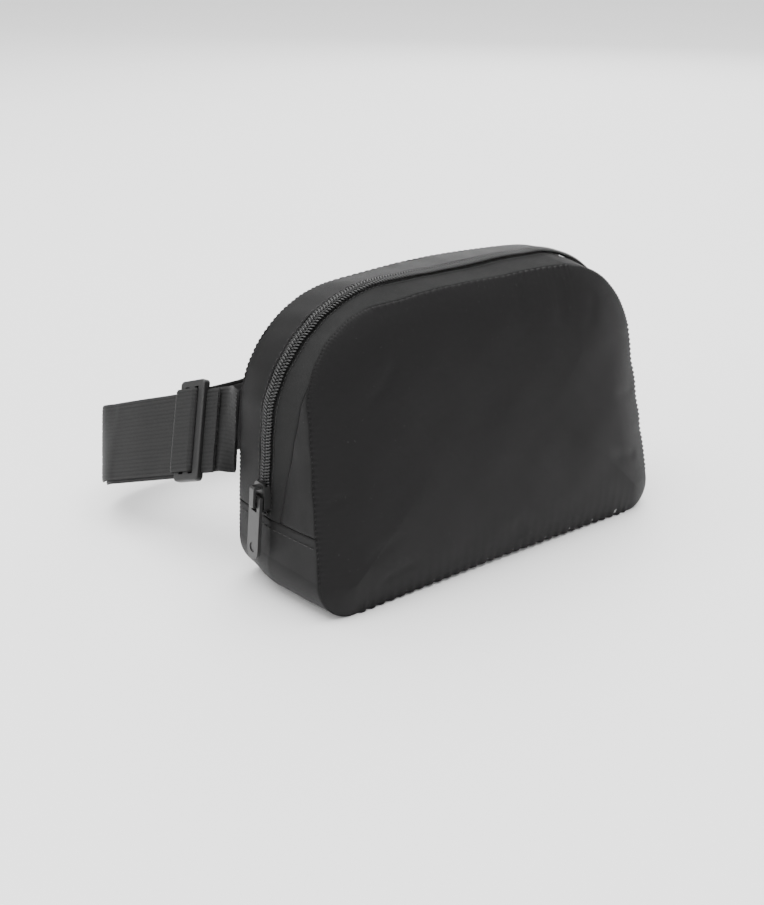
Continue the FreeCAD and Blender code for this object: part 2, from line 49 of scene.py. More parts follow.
def gridQuads(rows, cols, wrapCols=False):
    # every cell of a grid as four corner numbers; the last column can join the first
    i, j = np.meshgrid(np.arange(rows - 1), np.arange(cols if wrapCols else cols - 1), indexing="ij")
    k = (j + 1) % cols
    return np.stack([i * cols + j, i * cols + k, (i + 1) * cols + k, (i + 1) * cols + j], -1).reshape(-1, 4)


def makeMesh(name, points, quads, tris=None, uv=None, outward=None):
    # outward: a direction per point that the faces should look along; without it they look away from
    # the middle of the points
    points = np.asarray(points, float).reshape(-1, 3)
    tris = np.zeros((0, 3), int) if tris is None else np.asarray(tris).reshape(-1, 3)
    a, b, c = (points[quads[:, k]] for k in (0, 1, 2))
    normal = np.cross(b - a, c - a)
    facing = a - points.mean(0) if outward is None else np.asarray(outward, float).reshape(-1, 3)[quads[:, 0]]
    if (normal * facing).sum() < 0:
        quads, tris = quads[:, ::-1], tris[:, ::-1]
    corners = np.concatenate([quads.ravel(), tris.ravel()]).astype(np.int32)
    starts = np.concatenate([np.arange(len(quads)) * 4, len(quads) * 4 + np.arange(len(tris)) * 3])
    mesh = bpy.data.meshes.new(name)
    mesh.vertices.add(len(points))
    mesh.vertices.foreach_set("co", (points * metre).astype(np.float32).ravel())
    mesh.loops.add(len(corners))
    mesh.loops.foreach_set("vertex_index", corners)
    mesh.polygons.add(len(starts))
    mesh.polygons.foreach_set("loop_start", starts.astype(np.int32))
    mesh.polygons.foreach_set("use_smooth", np.ones(len(starts), bool))
    mesh.update(calc_edges=True)
    if uv is not None:
        layer = mesh.uv_layers.new(name="cloth")
        layer.data.foreach_set("uv", np.asarray(uv, np.float32).reshape(-1, 2)[corners].ravel())
    piece = bpy.data.objects.new(name, mesh)
    bpy.context.scene.collection.objects.link(piece)
    return piece


def thicken(piece, thickness):
    # a wall grown inwards from the outer face, so that a sheet is a closed piece
    wall = piece.modifiers.new("wall", "SOLIDIFY")
    wall.thickness = thickness * metre
    wall.offset = -1.0
    return piece


def finishPiece(piece, body, slot, material, *replaced):
    piece.data.materials.clear()
    piece.data.materials.append(material)
    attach(piece, body)
    if replaced:
        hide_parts(*replaced)
    return piece


def travelled(points, axis):
    # distance covered along a grid's rows or columns
    step = np.linalg.norm(np.diff(points, axis=axis), axis=-1)
    start = np.zeros_like(np.take(step, [0], axis=axis))
    return np.concatenate([start, np.cumsum(step, axis=axis)], axis=axis)


def unit(v):
    return v / np.maximum(np.linalg.norm(v, axis=-1, keepdims=True), 1e-12)


def sampled(at, run, values):
    # each column of values at the distances at, where run holds the distance of each row
    return np.stack([np.interp(at, run, values[:, k]) for k in range(values.shape[1])], -1)


def repeated(faces, count, size):
    # the same faces for count copies of size points each
    return (faces[None] + (np.arange(count) * size)[:, None, None]).reshape(-1, faces.shape[1])


def ripple(t, seed, *lengths):
    # the mean of one sine for each wavelength, each with its own seeded phase
    phase = np.random.default_rng(seed).uniform(0, 2 * np.pi, len(lengths))
    return sum(np.sin(2 * np.pi * t / size + p) for size, p in zip(lengths, phase)) / len(lengths)


def cloudy(a, b, seed, size, count=7):
    # the mean of plane waves in seeded directions, wavelengths from 0.7 to 1.6 times size
    rng = np.random.default_rng(seed)
    turn = rng.uniform(0, np.pi, count)
    wave = 2 * np.pi / (size * rng.uniform(0.7, 1.6, count))
    phase = rng.uniform(0, 2 * np.pi, count)
    waves = [np.sin((a * np.cos(t) + b * np.sin(t)) * w + p) for t, w, p in zip(turn, wave, phase)]
    return sum(waves) / count


def smoothStep(t, low, high):
    # 0 below low, 1 above high, 3t^2 - 2t^3 between
    t = np.clip((t - low) / (high - low), 0.0, 1.0)
    return t * t * (3.0 - 2.0 * t)


def roll(distance, radius, depth):
    # a quarter ellipse: depth at the edge, nothing beyond radius
    t = np.clip(distance / radius, 0.0, 1.0)
    return -depth * (1.0 - np.sqrt(1.0 - (1.0 - t) ** 2))


# ---- the bag's skin

body = {
    "footY": -30.7, "lean": math.radians(11.4), "zipY": 8.6, "band": 9.2, "rearY": 30.2,
    "front": dict(halfBase=100.0, halfTop=90.0, height=127.9, baseRadius=19.3, topRadius=31.4, crown=1.9),
    "zip": dict(halfBase=106.5, halfTop=93.5, height=130.2, baseRadius=22.0, topRadius=41.5, crown=0.3),
    "rear": dict(halfBase=105.0, halfTop=98.0, height=127.8, baseRadius=22.0, topRadius=42.7, crown=2.6),
    "seamZ": 37.0, "tapeLowY": -1.5, "tapeSlope": 0.14, "rearTape": 5.6, "chainGap": 0.8,
}


def arcPoint(start, middle, end, t):
    # the circle through three points, followed from start (t = 0) to end (t = 1)
    (ax, ay), (bx, by), (cx, cy) = start, middle, end
    d = 2 * (ax * (by - cy) + bx * (cy - ay) + cx * (ay - by))
    ux = ((ax**2 + ay**2) * (by - cy) + (bx**2 + by**2) * (cy - ay) + (cx**2 + cy**2) * (ay - by)) / d
    uy = ((ax**2 + ay**2) * (cx - bx) + (bx**2 + by**2) * (ax - cx) + (cx**2 + cy**2) * (bx - ax)) / d
    radius = math.hypot(ax - ux, ay - uy)
    first, last = math.atan2(ay - uy, ax - ux), math.atan2(cy - uy, cx - ux)
    turn = (last - first + math.pi) % (2 * math.pi) - math.pi
    angle = first + turn * t
    return ux + radius * np.cos(angle), uy + radius * np.sin(angle)


def outline(shape, u, inset=0.0):
    # a rounded trapezoid followed once as u goes from 0 to 8: base, corner, right side, corner, crowned top,
    # corner, left side, corner, each from one whole number to the next
    slope = (shape["halfTop"] - shape["halfBase"]) / shape["height"]
    side = math.hypot(1.0, slope)

    def corner(level, radius, sign):
        turn = math.pi / 2 - sign * math.atan(slope)
        reach = radius / math.tan((math.pi - turn) / 2)
        x = shape["halfBase"] + slope * level - inset * side
        centre = (x - reach, level - sign * radius)
        aim = math.hypot(x - centre[0], level - centre[1])
        middle = (centre[0] + radius * (x - centre[0]) / aim, centre[1] + radius * (level - centre[1]) / aim)
        return (x - reach, level), middle, (x - sign * reach * slope / side, level - sign * reach / side)

    high = shape["height"] - inset
    baseEdge, baseMid, baseSide = corner(inset, max(shape["baseRadius"] - inset, 2.0), -1)
    topEdge, topMid, topSide = corner(high, max(shape["topRadius"] - inset, 2.0), 1)
    flip = lambda p: (-p[0], p[1])
    edges = [(flip(baseEdge), None, baseEdge), (baseEdge, baseMid, baseSide), (baseSide, None, topSide),
             (topSide, topMid, topEdge), (topEdge, (0.0, high + shape["crown"]), flip(topEdge)),
             (flip(topEdge), flip(topMid), flip(topSide)), (flip(topSide), None, flip(baseSide)),
             (flip(baseSide), flip(baseMid), flip(baseEdge))]
    u = np.mod(np.asarray(u, float), 8.0)
    number = np.floor(u).astype(int)
    t = u - number
    x, z = np.zeros_like(u), np.zeros_like(u)
    for k, (start, middle, end) in enumerate(edges):
        if middle is None:
            ex, ez = start[0] + (end[0] - start[0]) * t, start[1] + (end[1] - start[1]) * t
        else:
            ex, ez = arcPoint(start, middle, end, t)
        x, z = np.where(number == k, ex, x), np.where(number == k, ez, z)
    return x, z


def onFront(x, up, lift=0.0):
    # a point of the leaning front plane, lifted square to it towards the front
    lean = body["lean"]
    return np.stack([x, body["footY"] + up * math.sin(lean) - lift * math.cos(lean),
                     up * math.cos(lean) + lift * math.sin(lean)], -1)


def skin(u, y, inset=0.0):
    # straight lines from the front outline to the zip's flat band, along it and on to the rear outline
    u, y = np.broadcast_arrays(np.asarray(u, float), np.asarray(y, float))
    front = onFront(*outline(body["front"], u, inset))
    zx, zz = outline(body["zip"], u, inset)
    rx, rz = outline(body["rear"], u, inset)
    bandLow, bandHigh = body["zipY"] - body["band"] / 2, body["zipY"] + body["band"] / 2
    stops = [front, np.stack([zx, np.full_like(zx, bandLow), zz], -1),
             np.stack([zx, np.full_like(zx, bandHigh), zz], -1),
             np.stack([rx, np.full_like(rx, body["rearY"]), rz], -1)]
    result = front
    for a, b in zip(stops, stops[1:]):
        t = np.clip((y - a[..., 1]) / (b[..., 1] - a[..., 1]), 0.0, 1.0)[..., None]
        result = np.where(t > 0, a + (b - a) * t, result)
    return result


def skinNormal(u, y, inset=0.0):
    # the outward cross product of the two directions of the skin
    yLow = np.minimum(y - 0.4, body["rearY"] - 1.0)
    across = skin(u, yLow + 0.8, inset) - skin(u, yLow, inset)
    along = skin(np.asarray(u) + 0.004, y, inset) - skin(np.asarray(u) - 0.004, y, inset)
    normal = np.cross(across, along)
    return unit(normal)


def settle(points):
    # how cloth leaves the straight pattern: a low arch under the middle of the front, long soft waves on the
    # sides and top, nothing beside the slider and the belt's roots
    x, y, z = points[..., 0], points[..., 1], points[..., 2]
    calm = 1.0 - np.exp(-(((x + 105) / 22) ** 2 + ((y - 8.6) / 9) ** 2 + ((z - 46) / 22) ** 2) ** 2)
    calm = calm * smoothStep(np.abs(y - body["rearY"]), -4.0, 8.0)
    wave = 0.9 * cloudy(x * 0.8 + y, z, 11, 46.0) + 0.35 * cloudy(x, z + y * 0.5, 12, 17.0)
    arch = 1.5 * np.exp(-np.maximum(z, 0) / 14.0) * np.clip(1.0 - (x / 82.0) ** 2, 0.0, 1.0)
    arch = arch * smoothStep(body["zipY"] - y, 0.0, 30.0)
    dents = ((0.9, 74, 5.5), (0.7, 55, 6), (0.6, 40, 4))
    dent = sum(deep * np.exp(-((z - high) / size) ** 2) for deep, high, size in dents)
    dent = dent * smoothStep(x, 80.0, 98.0)
    moved = np.array(points)
    moved[..., 0] += calm * wave * np.clip(x / 100.0, -1.0, 1.0) * 0.8 - dent
    moved[..., 1] += calm * wave * 0.35
    moved[..., 2] += calm * wave * smoothStep(z, 90.0, 125.0) * 0.7 + arch
    return moved


# ---- shader writing

class Wire:
    # one output socket; arithmetic on it adds Math nodes
    def __init__(self, shader, socket):
        self.shader, self.socket = shader, socket

    def math(self, operation, a, b=None):
        values = {0: a} if b is None else {0: a, 1: b}
        return self.shader.node("ShaderNodeMath", {"operation": operation}, values)[0]

    def __add__(self, other): return self.math("ADD", self, other)
    def __radd__(self, other): return self.math("ADD", other, self)
    def __sub__(self, other): return self.math("SUBTRACT", self, other)
    def __rsub__(self, other): return self.math("SUBTRACT", other, self)
    def __mul__(self, other): return self.math("MULTIPLY", self, other)
    def __rmul__(self, other): return self.math("MULTIPLY", other, self)
    def sine(self): return self.math("SINE", self)
    def size(self): return self.math("ABSOLUTE", self)
    def above(self, other): return self.math("MAXIMUM", self, other)
    def clamp(self): return self.math("MINIMUM", self.above(0.0), 1.0)


class Shader:
    # a material and the one way to add a node to it
    def __init__(self, name, **constants):
        self.material = bpy.data.materials.new(name)
        self.material.use_nodes = True
        self.tree = self.material.node_tree
        self.surface = self.tree.nodes["Principled BSDF"]
        for socket, value in constants.items():
            self.surface.inputs[socket.replace("_", " ")].default_value = value

    def node(self, kind, settings=None, sockets=None):
        made = self.tree.nodes.new(kind)
        for key, value in (settings or {}).items():
            setattr(made, key, value)
        for key, value in (sockets or {}).items():
            if isinstance(value, Wire):
                self.tree.links.new(value.socket, made.inputs[key])
            else:
                made.inputs[key].default_value = value
        return [Wire(self, o) for o in made.outputs]

    def into(self, **wires):
        for socket, wire in wires.items():
            self.tree.links.new(wire.socket, self.surface.inputs[socket.replace("_", " ")])

    def mix(self, share, first, second):
        made = self.tree.nodes.new("ShaderNodeMix")
        made.data_type = "RGBA"
        for place, value in ((0, share), (6, first), (7, second)):
            if isinstance(value, Wire):
                self.tree.links.new(value.socket, made.inputs[place])
            else:
                made.inputs[place].default_value = value
        return Wire(self, made.outputs[2])

    def noise(self, where, scale, detail=2.0, roughness=0.5):
        return self.node("ShaderNodeTexNoise", None,
                         {"Vector": where, "Scale": scale, "Detail": detail, "Roughness": roughness})[0]

    def bump(self, height, depth, strength=1.0):
        return self.node("ShaderNodeBump", None, {"Height": height, "Distance": depth * metre,
                                                  "Strength": strength})[0]


def grey(level, warm=0.0):
    return (level * (1 + warm), level, level * (1 + warm * 0.8), 1.0)


def clothMaterial(name, level, warm, thread, depth, rough, sheen, slant=0.0):
    # plain weave: threads one way rise where the others dip, sin(a) * sin(b) with a slant for twill
    made = Shader(name, Sheen_Weight=sheen, Sheen_Roughness=0.45, Specular_IOR_Level=0.20)
    made.surface.inputs["Sheen Tint"].default_value = (0.8, 0.76, 0.8, 1)
    where = made.node("ShaderNodeUVMap", {"uv_map": "cloth"})[0]
    u, v, _ = made.node("ShaderNodeSeparateXYZ", None, {"Vector": where})
    object3 = made.node("ShaderNodeTexCoord")[3]
    pull = made.noise(object3, 420.0, 3.0)
    a = (u + v * slant) * (math.pi / thread) + pull * 0.8
    b = v * (math.pi / thread) + pull * 0.8
    weave = (a.sine() * b.sine()).size()
    cloud = made.noise(object3, 38.0, 4.0)
    lint = made.node("ShaderNodeMapRange", None, {"Value": made.noise(object3, 900.0, 1.0),
                                                  "From Min": 0.74, "From Max": 0.8})[0]
    # painted shade: darker in the dips between threads, mixed with real tone variation from the cloud
    threadShadeAndTone = made.mix(weave * 0.5 + cloud * 0.5, grey(level * 0.7, warm), grey(level * 1.35, warm))
    made.into(Base_Color=made.mix(lint * 0.05, threadShadeAndTone, grey(0.3)),
              Roughness=rough - 0.10 * weave + 0.08 * cloud,
              Normal=made.bump(weave + 0.6 * pull, depth))
    return made.material


def webbingMaterial(name, level):
    # ribs are in the mesh, with painted shade between them; the weft shows as short bars, shifted from one
    # rib to the next
    made = Shader(name, Sheen_Weight=0.05, Sheen_Roughness=0.5, Specular_IOR_Level=0.25)
    where = made.node("ShaderNodeUVMap", {"uv_map": "cloth"})[0]
    u, v, _ = made.node("ShaderNodeSeparateXYZ", None, {"Vector": where})
    object3 = made.node("ShaderNodeTexCoord")[3]
    cloud = made.noise(object3, 60.0, 4.0)
    bars = ((v * (math.pi / 0.75) + (u * (math.pi / 1.7)).sine() * 1.2).sine()).size()
    strands = ((u * (math.pi / 0.34)).sine()).size()
    ribShade = ((u * (math.pi * 21.0 / 38.0)).sine()).size()
    height = bars * 0.25 + strands * 0.35 + cloud * 0.2
    fuzz = made.noise(object3, 1500.0, 2.0)
    # painted shade: the colour is darkest between the ribs and lightest on their tops; the weft bars and the
    # cloud are real pattern and tone
    lit = (ribShade * 0.8 + bars * 0.15 + cloud * 0.15).clamp()
    made.into(Base_Color=made.mix(lit, grey(level * 0.3), grey(level * 1.35)),
              Roughness=0.62 + 0.2 * fuzz - 0.12 * strands, Normal=made.bump(height + fuzz * 0.3, 0.12))
    return made.material


def smoothMaterial(name, level, rough, grain, depth, metal=0.0, coat=0.0, edge=0.25):
    # moulded or painted parts: fine grain, faint scuffs, rims painted lighter as a highlight and softened by
    # a rounded normal
    made = Shader(name, Metallic=metal, Specular_IOR_Level=0.5, Coat_Roughness=0.2)
    object3 = made.node("ShaderNodeTexCoord")[3]
    fine = made.noise(object3, grain, 3.0)
    cloud = made.noise(object3, 120.0, 4.0, 0.6)
    scuff = made.node("ShaderNodeMapRange", None, {"Value": made.noise(object3, 260.0, 5.0, 0.7),
                                                   "From Min": 0.56, "From Max": 0.72})[0]
    soft = made.node("ShaderNodeBevel", {"samples": 4}, {"Radius": edge * metre})[0]
    face = made.node("ShaderNodeNewGeometry")[1]
    bend = made.node("ShaderNodeVectorMath", {"operation": "DOT_PRODUCT"}, {0: soft, 1: face})[1]
    # painted highlight: rims lightened where the rounded normal turns away from the face
    rimHighlight = ((1.0 - bend) * 3.0).clamp()
    base = made.mix(cloud, grey(level * 0.75), grey(level * 1.3))
    # the lighter colour mixes the painted rim highlight with faint scuff wear
    made.into(Base_Color=made.mix(rimHighlight * 0.5 + scuff * 0.12, base, grey(level * 3.0 + 0.02)),
              Roughness=rough + 0.14 * cloud + 0.10 * scuff - 0.08 * rimHighlight)
    relief = made.node("ShaderNodeBump", None, {"Height": fine + scuff * 0.3, "Distance": depth * metre,
                                                "Strength": 1.0, "Normal": soft})[0]
    made.into(Normal=relief)
    if coat:
        made.surface.inputs["Coat Weight"].default_value = coat
    return made.material


def foamMaterial():
    made = Shader("foamGrey", Specular_IOR_Level=0.2)
    object3 = made.node("ShaderNodeTexCoord")[3]
    cells = made.node("ShaderNodeTexVoronoi", None, {"Vector": object3, "Scale": 1400.0})[0]
    cloud = made.noise(object3, 70.0, 3.0)
    made.into(Base_Color=made.mix(cells * 0.6 + cloud * 0.4, grey(0.18), grey(0.34)),
              Roughness=0.85 + 0.1 * cloud, Normal=made.bump(cells, 0.15))
    return made.material


finish = {
    "shell": clothMaterial("shellCloth", 0.0030, 0.10, 0.032, 0.030, 0.58, 0.02),
    "gusset": clothMaterial("gussetCloth", 0.0024, 0.05, 0.032, 0.030, 0.52, 0.02),
    "lining": clothMaterial("liningCloth", 0.03, 0.0, 0.05, 0.05, 0.7, 0.15),
    "binding": clothMaterial("bindingTape", 0.02, 0.0, 0.06, 0.08, 0.75, 0.15),
    "tape": clothMaterial("zipTape", 0.006, -0.03, 0.055, 0.09, 0.66, 0.03, 1.0),
    "webbing": webbingMaterial("webbingWeave", 0.0055),
    "coil": smoothMaterial("coilNylon", 0.010, 0.26, 900.0, 0.01, coat=0.2, edge=0.1),
    "thread": smoothMaterial("sewingThread", 0.013, 0.45, 1500.0, 0.02, edge=0.05),
    "metal": smoothMaterial("paintedMetal", 0.006, 0.34, 700.0, 0.012, coat=0.15, edge=0.22),
    "plastic": smoothMaterial("mouldedPlastic", 0.007, 0.40, 1100.0, 0.025, edge=0.35),
    "foam": foamMaterial(),
}
print("materials made")


# ---- panels cut from the skin

def zipEdge(y, side):
    # the u where the side stands at the seam's height, by halving the side's range twenty times
    y = np.asarray(y, float)
    low, high = np.full_like(y, 1.7 if side > 0 else 6.0), np.full_like(y, 3.0 if side > 0 else 7.6)
    for _ in range(20):
        middle = (low + high) / 2
        below = (skin(middle, y)[..., 2] < body["seamZ"]) == (side > 0)
        low, high = np.where(below, middle, low), np.where(below, high, middle)
    return (low + high) / 2


def tapeY(z):
    return body["tapeLowY"] - (z - body["seamZ"]) * body["tapeSlope"]


def frontY(u):
    return onFront(*outline(body["front"], u))[..., 1]


def panelPoints(uFrom, uTo, yFrom, yTo, rows, cols, inset=0.0):
    # u runs from uFrom(y) to uTo(y) along the rows, y from yFrom(u, z) to yTo(u, z) across
    s, t = np.meshgrid(np.linspace(0, 1, rows), np.linspace(0, 1, cols), indexing="ij")
    y = np.full_like(s, body["zipY"])
    for _ in range(3):
        u = uFrom(y) + (uTo(y) - uFrom(y)) * s
        z = skin(u, y)[..., 2]
        y0, y1 = yFrom(u, z), yTo(u, z)
        y = y0 + (y1 - y0) * t
    return u, y, skin(u, y, inset), skinNormal(u, y, inset)


def clothPanel(name, uFrom, uTo, yFrom, yTo, look):
    rows, cols = look["grid"]
    u, y, points, normal = panelPoints(uFrom, uTo, yFrom, yTo, rows, cols, look.get("inset", 0.0))
    along, across = travelled(points, 0), travelled(points, 1)
    edges = [along, along[-1:] - along, across, across[:, -1:] - across]
    lift = np.zeros_like(along)
    for distance, (radius, depth) in zip(edges, look["edges"]):
        if radius:
            lift += roll(distance, radius, depth)
    middle = np.minimum(across, across[:, -1:] - across)
    seamWave = ripple(along, look["seed"], 11.0, 17.0, 29.0)
    lift += look["pucker"] * seamWave * np.exp(-middle / 3.5)
    lift += look["fold"] * cloudy(along, across * 1.6, look["seed"] + 1, look["foldSize"])
    lift += look["puff"] * np.sin(np.pi * np.clip(across / np.maximum(across[:, -1:], 1e-6), 0, 1))
    lift += look.get("rise", 0.0)
    points = settle(points + normal * lift[..., None])
    uv = np.stack([across, along], -1) / 10.0  # thread sizes are in centimetres
    piece = makeMesh(name, points, gridQuads(rows, cols), uv=uv, outward=normal)
    return thicken(piece, look["wall"]), points, normal


def constant(value):
    return lambda a, b=None: np.full_like(np.asarray(a, float), value)


rightSeam = lambda y: zipEdge(y, 1)
leftSeam = lambda y: zipEdge(y, -1)
zipFront = body["zipY"] - body["chainGap"] / 2
zipRear = body["zipY"] + body["chainGap"] / 2
gussetEdge = body["zipY"] + body["rearTape"]

rearGussetLook = dict(grid=(620, 30), seed=3, pucker=0.22, fold=0.35, foldSize=24.0, puff=0.35, wall=0.8,
                      edges=[(1.4, 0.5), (1.4, 0.5), (0.8, 0.35), (1.5, 0.9)])
piece, rearGrid, rearNormal = clothPanel("rearGusset", rightSeam, leftSeam, constant(gussetEdge - 0.3),
                                         constant(body["rearY"]), rearGussetLook)
finishPiece(piece, "bag", "shell_cloth", finish["gusset"], "rear_gusset")

baseGussetLook = dict(grid=(520, 70), seed=4, pucker=0.08, fold=0.30, foldSize=30.0, puff=0.0, wall=0.8,
                      edges=[(1.5, 0.55), (1.5, 0.55), (1.5, 0.9), (1.5, 0.9)])
piece, _, _ = clothPanel("baseGusset", lambda y: leftSeam(y) - 8.0, rightSeam,
                                         lambda u, z: frontY(u), constant(body["rearY"]), baseGussetLook)
finishPiece(piece, "bag", "shell_cloth", finish["gusset"], "base_gusset")

insertLook = dict(grid=(110, 28), seed=5, pucker=0.14, fold=0.22, foldSize=20.0, puff=0.25, wall=0.8,
                  edges=[(1.4, 0.5), (0.0, 0.0), (1.3, 0.7), (0.9, 0.45)])


def insertEnd(side):
    # the u where the tape's front edge runs into the front seam, found on a fine list of u
    u = np.linspace(2.0, 4.0, 400) if side > 0 else np.linspace(6.99, 4.6, 400)
    front = skin(u, frontY(u))
    met = tapeY(front[:, 2]) <= frontY(u) + 0.15
    return u[np.argmax(met)]


for side, name, node in ((-1, "sideInsertLeft", "side_insert_left"),
                         (1, "sideInsertRight", "side_insert_right")):
    start = leftSeam if side < 0 else rightSeam
    end = insertEnd(side)
    piece, _, _ = clothPanel(name, start, constant(end), lambda u, z: frontY(u),
                                     lambda u, z: np.maximum(tapeY(z) + 0.3, frontY(u) + 0.08), insertLook)
    finishPiece(piece, "bag", "shell_cloth", finish["gusset"], node)

frontTapeLook = dict(grid=(620, 16), seed=6, pucker=0.06, fold=0.10, foldSize=22.0, puff=0.0, wall=0.45,
                     rise=-0.25, edges=[(0, 0), (0, 0), (1.0, 0.35), (0.6, 0.15)])
piece, tapeGrid, tapeNormal = clothPanel("zipTapeFront", rightSeam, leftSeam,
                                         lambda u, z: np.maximum(tapeY(z), frontY(u)), constant(zipFront),
                                         frontTapeLook)
finishPiece(piece, "bag", "zip_tape", finish["tape"], "zip_tape_front")
rearTapeLook = dict(frontTapeLook, seed=7, edges=[(0, 0), (0, 0), (0.6, 0.15), (0, 0)], grid=(620, 10))
piece, rearTapeGrid, _ = clothPanel("zipTapeRear", rightSeam, leftSeam, constant(zipRear),
                                    constant(gussetEdge), rearTapeLook)
finishPiece(piece, "bag", "zip_tape", finish["tape"], "zip_tape_rear")
print("gussets and tapes made")


# ---- front and back panels: a rounded outline drawn in to one middle point, puffed up square to its plane

frontLook = {"around": 760, "rings": 120, "middle": (0.0, 61.0), "height": 9.3, "soften": 17.0,
             "seamDip": 0.9, "seamRadius": 1.7, "pucker": 0.05, "puckerReach": 5.0, "fold": 0.42,
             "foldSize": 34.0, "wall": 0.8}
backLook = dict(frontLook, height=2.8, soften=16.0, seamDip=0.8, pucker=0.22, fold=0.25, foldSize=30.0,
                middle=(0.0, 63.0))
# each crease: where it starts and ends on the panel, its half width and its depth
creases = [
    ((22, 124), (17, 108), 3.2, 0.16), ((46, 121), (40, 100), 3.6, 0.24),
    ((66, 112), (55, 95), 3.4, 0.2), ((-52, 104), (-70, 88), 2.8, 0.35),
    ((-78, 22), (-60, 30), 3.2, 0.4), ((-70, 12), (-48, 15), 2.6, 0.35),
    ((86, 30), (66, 36), 3.0, 0.45), ((90, 62), (72, 64), 3.0, 0.35),
    ((-92, 50), (-80, 54), 2.2, 0.3), ((10, 8), (6, 20), 3.0, 0.3),
]


def creaseDepth(x, z, lines):
    # for each line: depth times a bell across it, times a smooth rise and fall along it
    total = np.zeros_like(x)
    for (x0, z0), (x1, z1), width, depth in lines:
        length = math.hypot(x1 - x0, z1 - z0)
        dx, dz = (x1 - x0) / length, (z1 - z0) / length
        along = ((x - x0) * dx + (z - z0) * dz) / length
        across = (x - x0) * dz - (z - z0) * dx + 1.2 * np.sin(along * 3.0)
        inside = smoothStep(along, -0.15, 0.15) * (1.0 - smoothStep(along, 0.55, 1.1))
        total += depth * np.exp(-((across / width) ** 2)) * inside
    return total


def puffedPanel(name, shape, place, look, lines=(), depth=0.0, cut=0.0):
    # ring r of the grid is the outline shrunk towards the middle point by 1 - r; the lift is
    # height * (1 - exp(-d / soften)) at a distance d from the seam
    u = np.linspace(0, 8, look["around"], endpoint=False)
    ex, ez = outline(shape, u, cut)
    r = 1.0 - (1.0 - np.linspace(0.0, 1.0, look["rings"] + 1)[:-1]) ** 1.35
    cx, cz = look["middle"]
    x, z = cx + (ex - cx) * (1 - r[:, None]), cz + (ez - cz) * (1 - r[:, None])
    x, z = np.vstack([x.reshape(-1, 1), [[cx]]])[:, 0], np.vstack([z.reshape(-1, 1), [[cz]]])[:, 0]
    probe = np.stack([ex, ez], -1)[::3]
    d = np.min(np.hypot(x[:, None] - probe[None, :, 0], z[:, None] - probe[None, :, 1]), axis=1)
    d = np.maximum(d - 0.15, 0.0)
    steps = np.hypot(*np.diff([ex, ez], axis=1, append=[[ex[0]], [ez[0]]]))
    around = np.append(np.tile(np.cumsum(steps), look["rings"]), 0.0)
    total = around.max()
    lift = look["height"] * (1.0 - np.exp(-d / look["soften"])) - depth
    lift += roll(d, look["seamRadius"], look["seamDip"])
    seam = sum(np.sin(2 * np.pi * around / total * k + p) for k, p in zip((46, 61, 83), (0.4, 2.1, 4.0))) / 3
    lift += look["pucker"] * seam * np.exp(-d / look["puckerReach"]) * smoothStep(d, 0.0, 1.2)
    away = smoothStep(d, 2.0, 22.0)
    lift += look["fold"] * cloudy(x, z, 21, look["foldSize"]) * away
    lift += 1.0 * np.exp(-(((z - 42) / 30) ** 2)) * away * (look["height"] / 9.3)
    lift -= creaseDepth(x, z, lines) * smoothStep(d, 0.2, 3.0)
    points = settle(place(x, z, lift))
    rings, count = look["rings"], look["around"]
    quads = gridQuads(rings, count, wrapCols=True)
    last = (rings - 1) * count + np.arange(count)
    tris = np.stack([last, np.roll(last, -1), np.full(count, rings * count)], -1)
    zero = np.zeros(1)
    facing = np.tile(place(zero, zero, zero + 1.0) - place(zero, zero, zero), (len(points), 1))
    piece = makeMesh(name, points, quads, tris, uv=np.stack([x, z], -1) / 10.0, outward=facing)
    return thicken(piece, look["wall"])


def onRear(x, up, lift):
    return np.stack([x, body["rearY"] + lift, up], -1)


piece = puffedPanel("frontPanel", body["front"], onFront, frontLook, creases)
finishPiece(piece, "bag", "shell_cloth", finish["shell"], "front_panel")
piece = puffedPanel("backPanel", body["rear"], onRear, backLook,
                    [((-60, 110), (-48, 92), 2.6, 0.4), ((55, 20), (40, 32), 3.0, 0.4),
                     ((0, 118), (3, 100), 2.6, 0.3)])
finishPiece(piece, "bag", "shell_cloth", finish["shell"], "back_panel")
print("front and back panels made")


# ---- the zip: two rows of coil and their stitching

coilLook = {"pitch": 1.42, "wire": 0.36, "sides": 6, "turn": 14, "width": 3.05, "height": 2.0, "slant": 0.75}


def zipPath(y, count, lift=0.0):
    # evenly spaced points along the skin at one y, from the right seam over the top to the left seam
    u = np.linspace(float(rightSeam(np.array([y]))[0]), float(leftSeam(np.array([y]))[0]), 4000)
    line = settle(skin(u, y) + skinNormal(u, np.full_like(u, y)) * lift)
    run = travelled(line, 0)
    even = np.linspace(0, run[-1], count)
    uEven = np.interp(even, run, u)
    normal = skinNormal(uEven, np.full_like(uEven, y))
    return sampled(even, run, line), normal, run[-1]


def tubeMesh(name, line, side, up, radius, sides):
    # a round tube: at each point of the line a circle of the given radius in the plane of side and up
    angle = np.linspace(0, 2 * np.pi, sides, endpoint=False)
    radius = np.broadcast_to(np.asarray(radius, float), line.shape[:1])[:, None, None]
    ring = side[:, None] * np.cos(angle)[None, :, None] + up[:, None] * np.sin(angle)[None, :, None]
    points = (line[:, None] + ring * radius).reshape(-1, 3)
    count = len(line)
    quads = gridQuads(count, sides, wrapCols=True)
    ends = np.concatenate([line[:1], line[-1:]])
    k = np.arange(sides)
    tris = np.concatenate([np.stack([np.full(sides, count * sides), (k + 1) % sides, k], -1),
                           np.stack([np.full(sides, count * sides + 1), (count - 1) * sides + k,
                                     (count - 1) * sides + (k + 1) % sides], -1)])
    outward = np.concatenate([ring.reshape(-1, 3), -(line[1:2] - line[:1]), line[-1:] - line[-2:-1]])
    return makeMesh(name, np.concatenate([points, ends]), quads, tris, outward=outward)


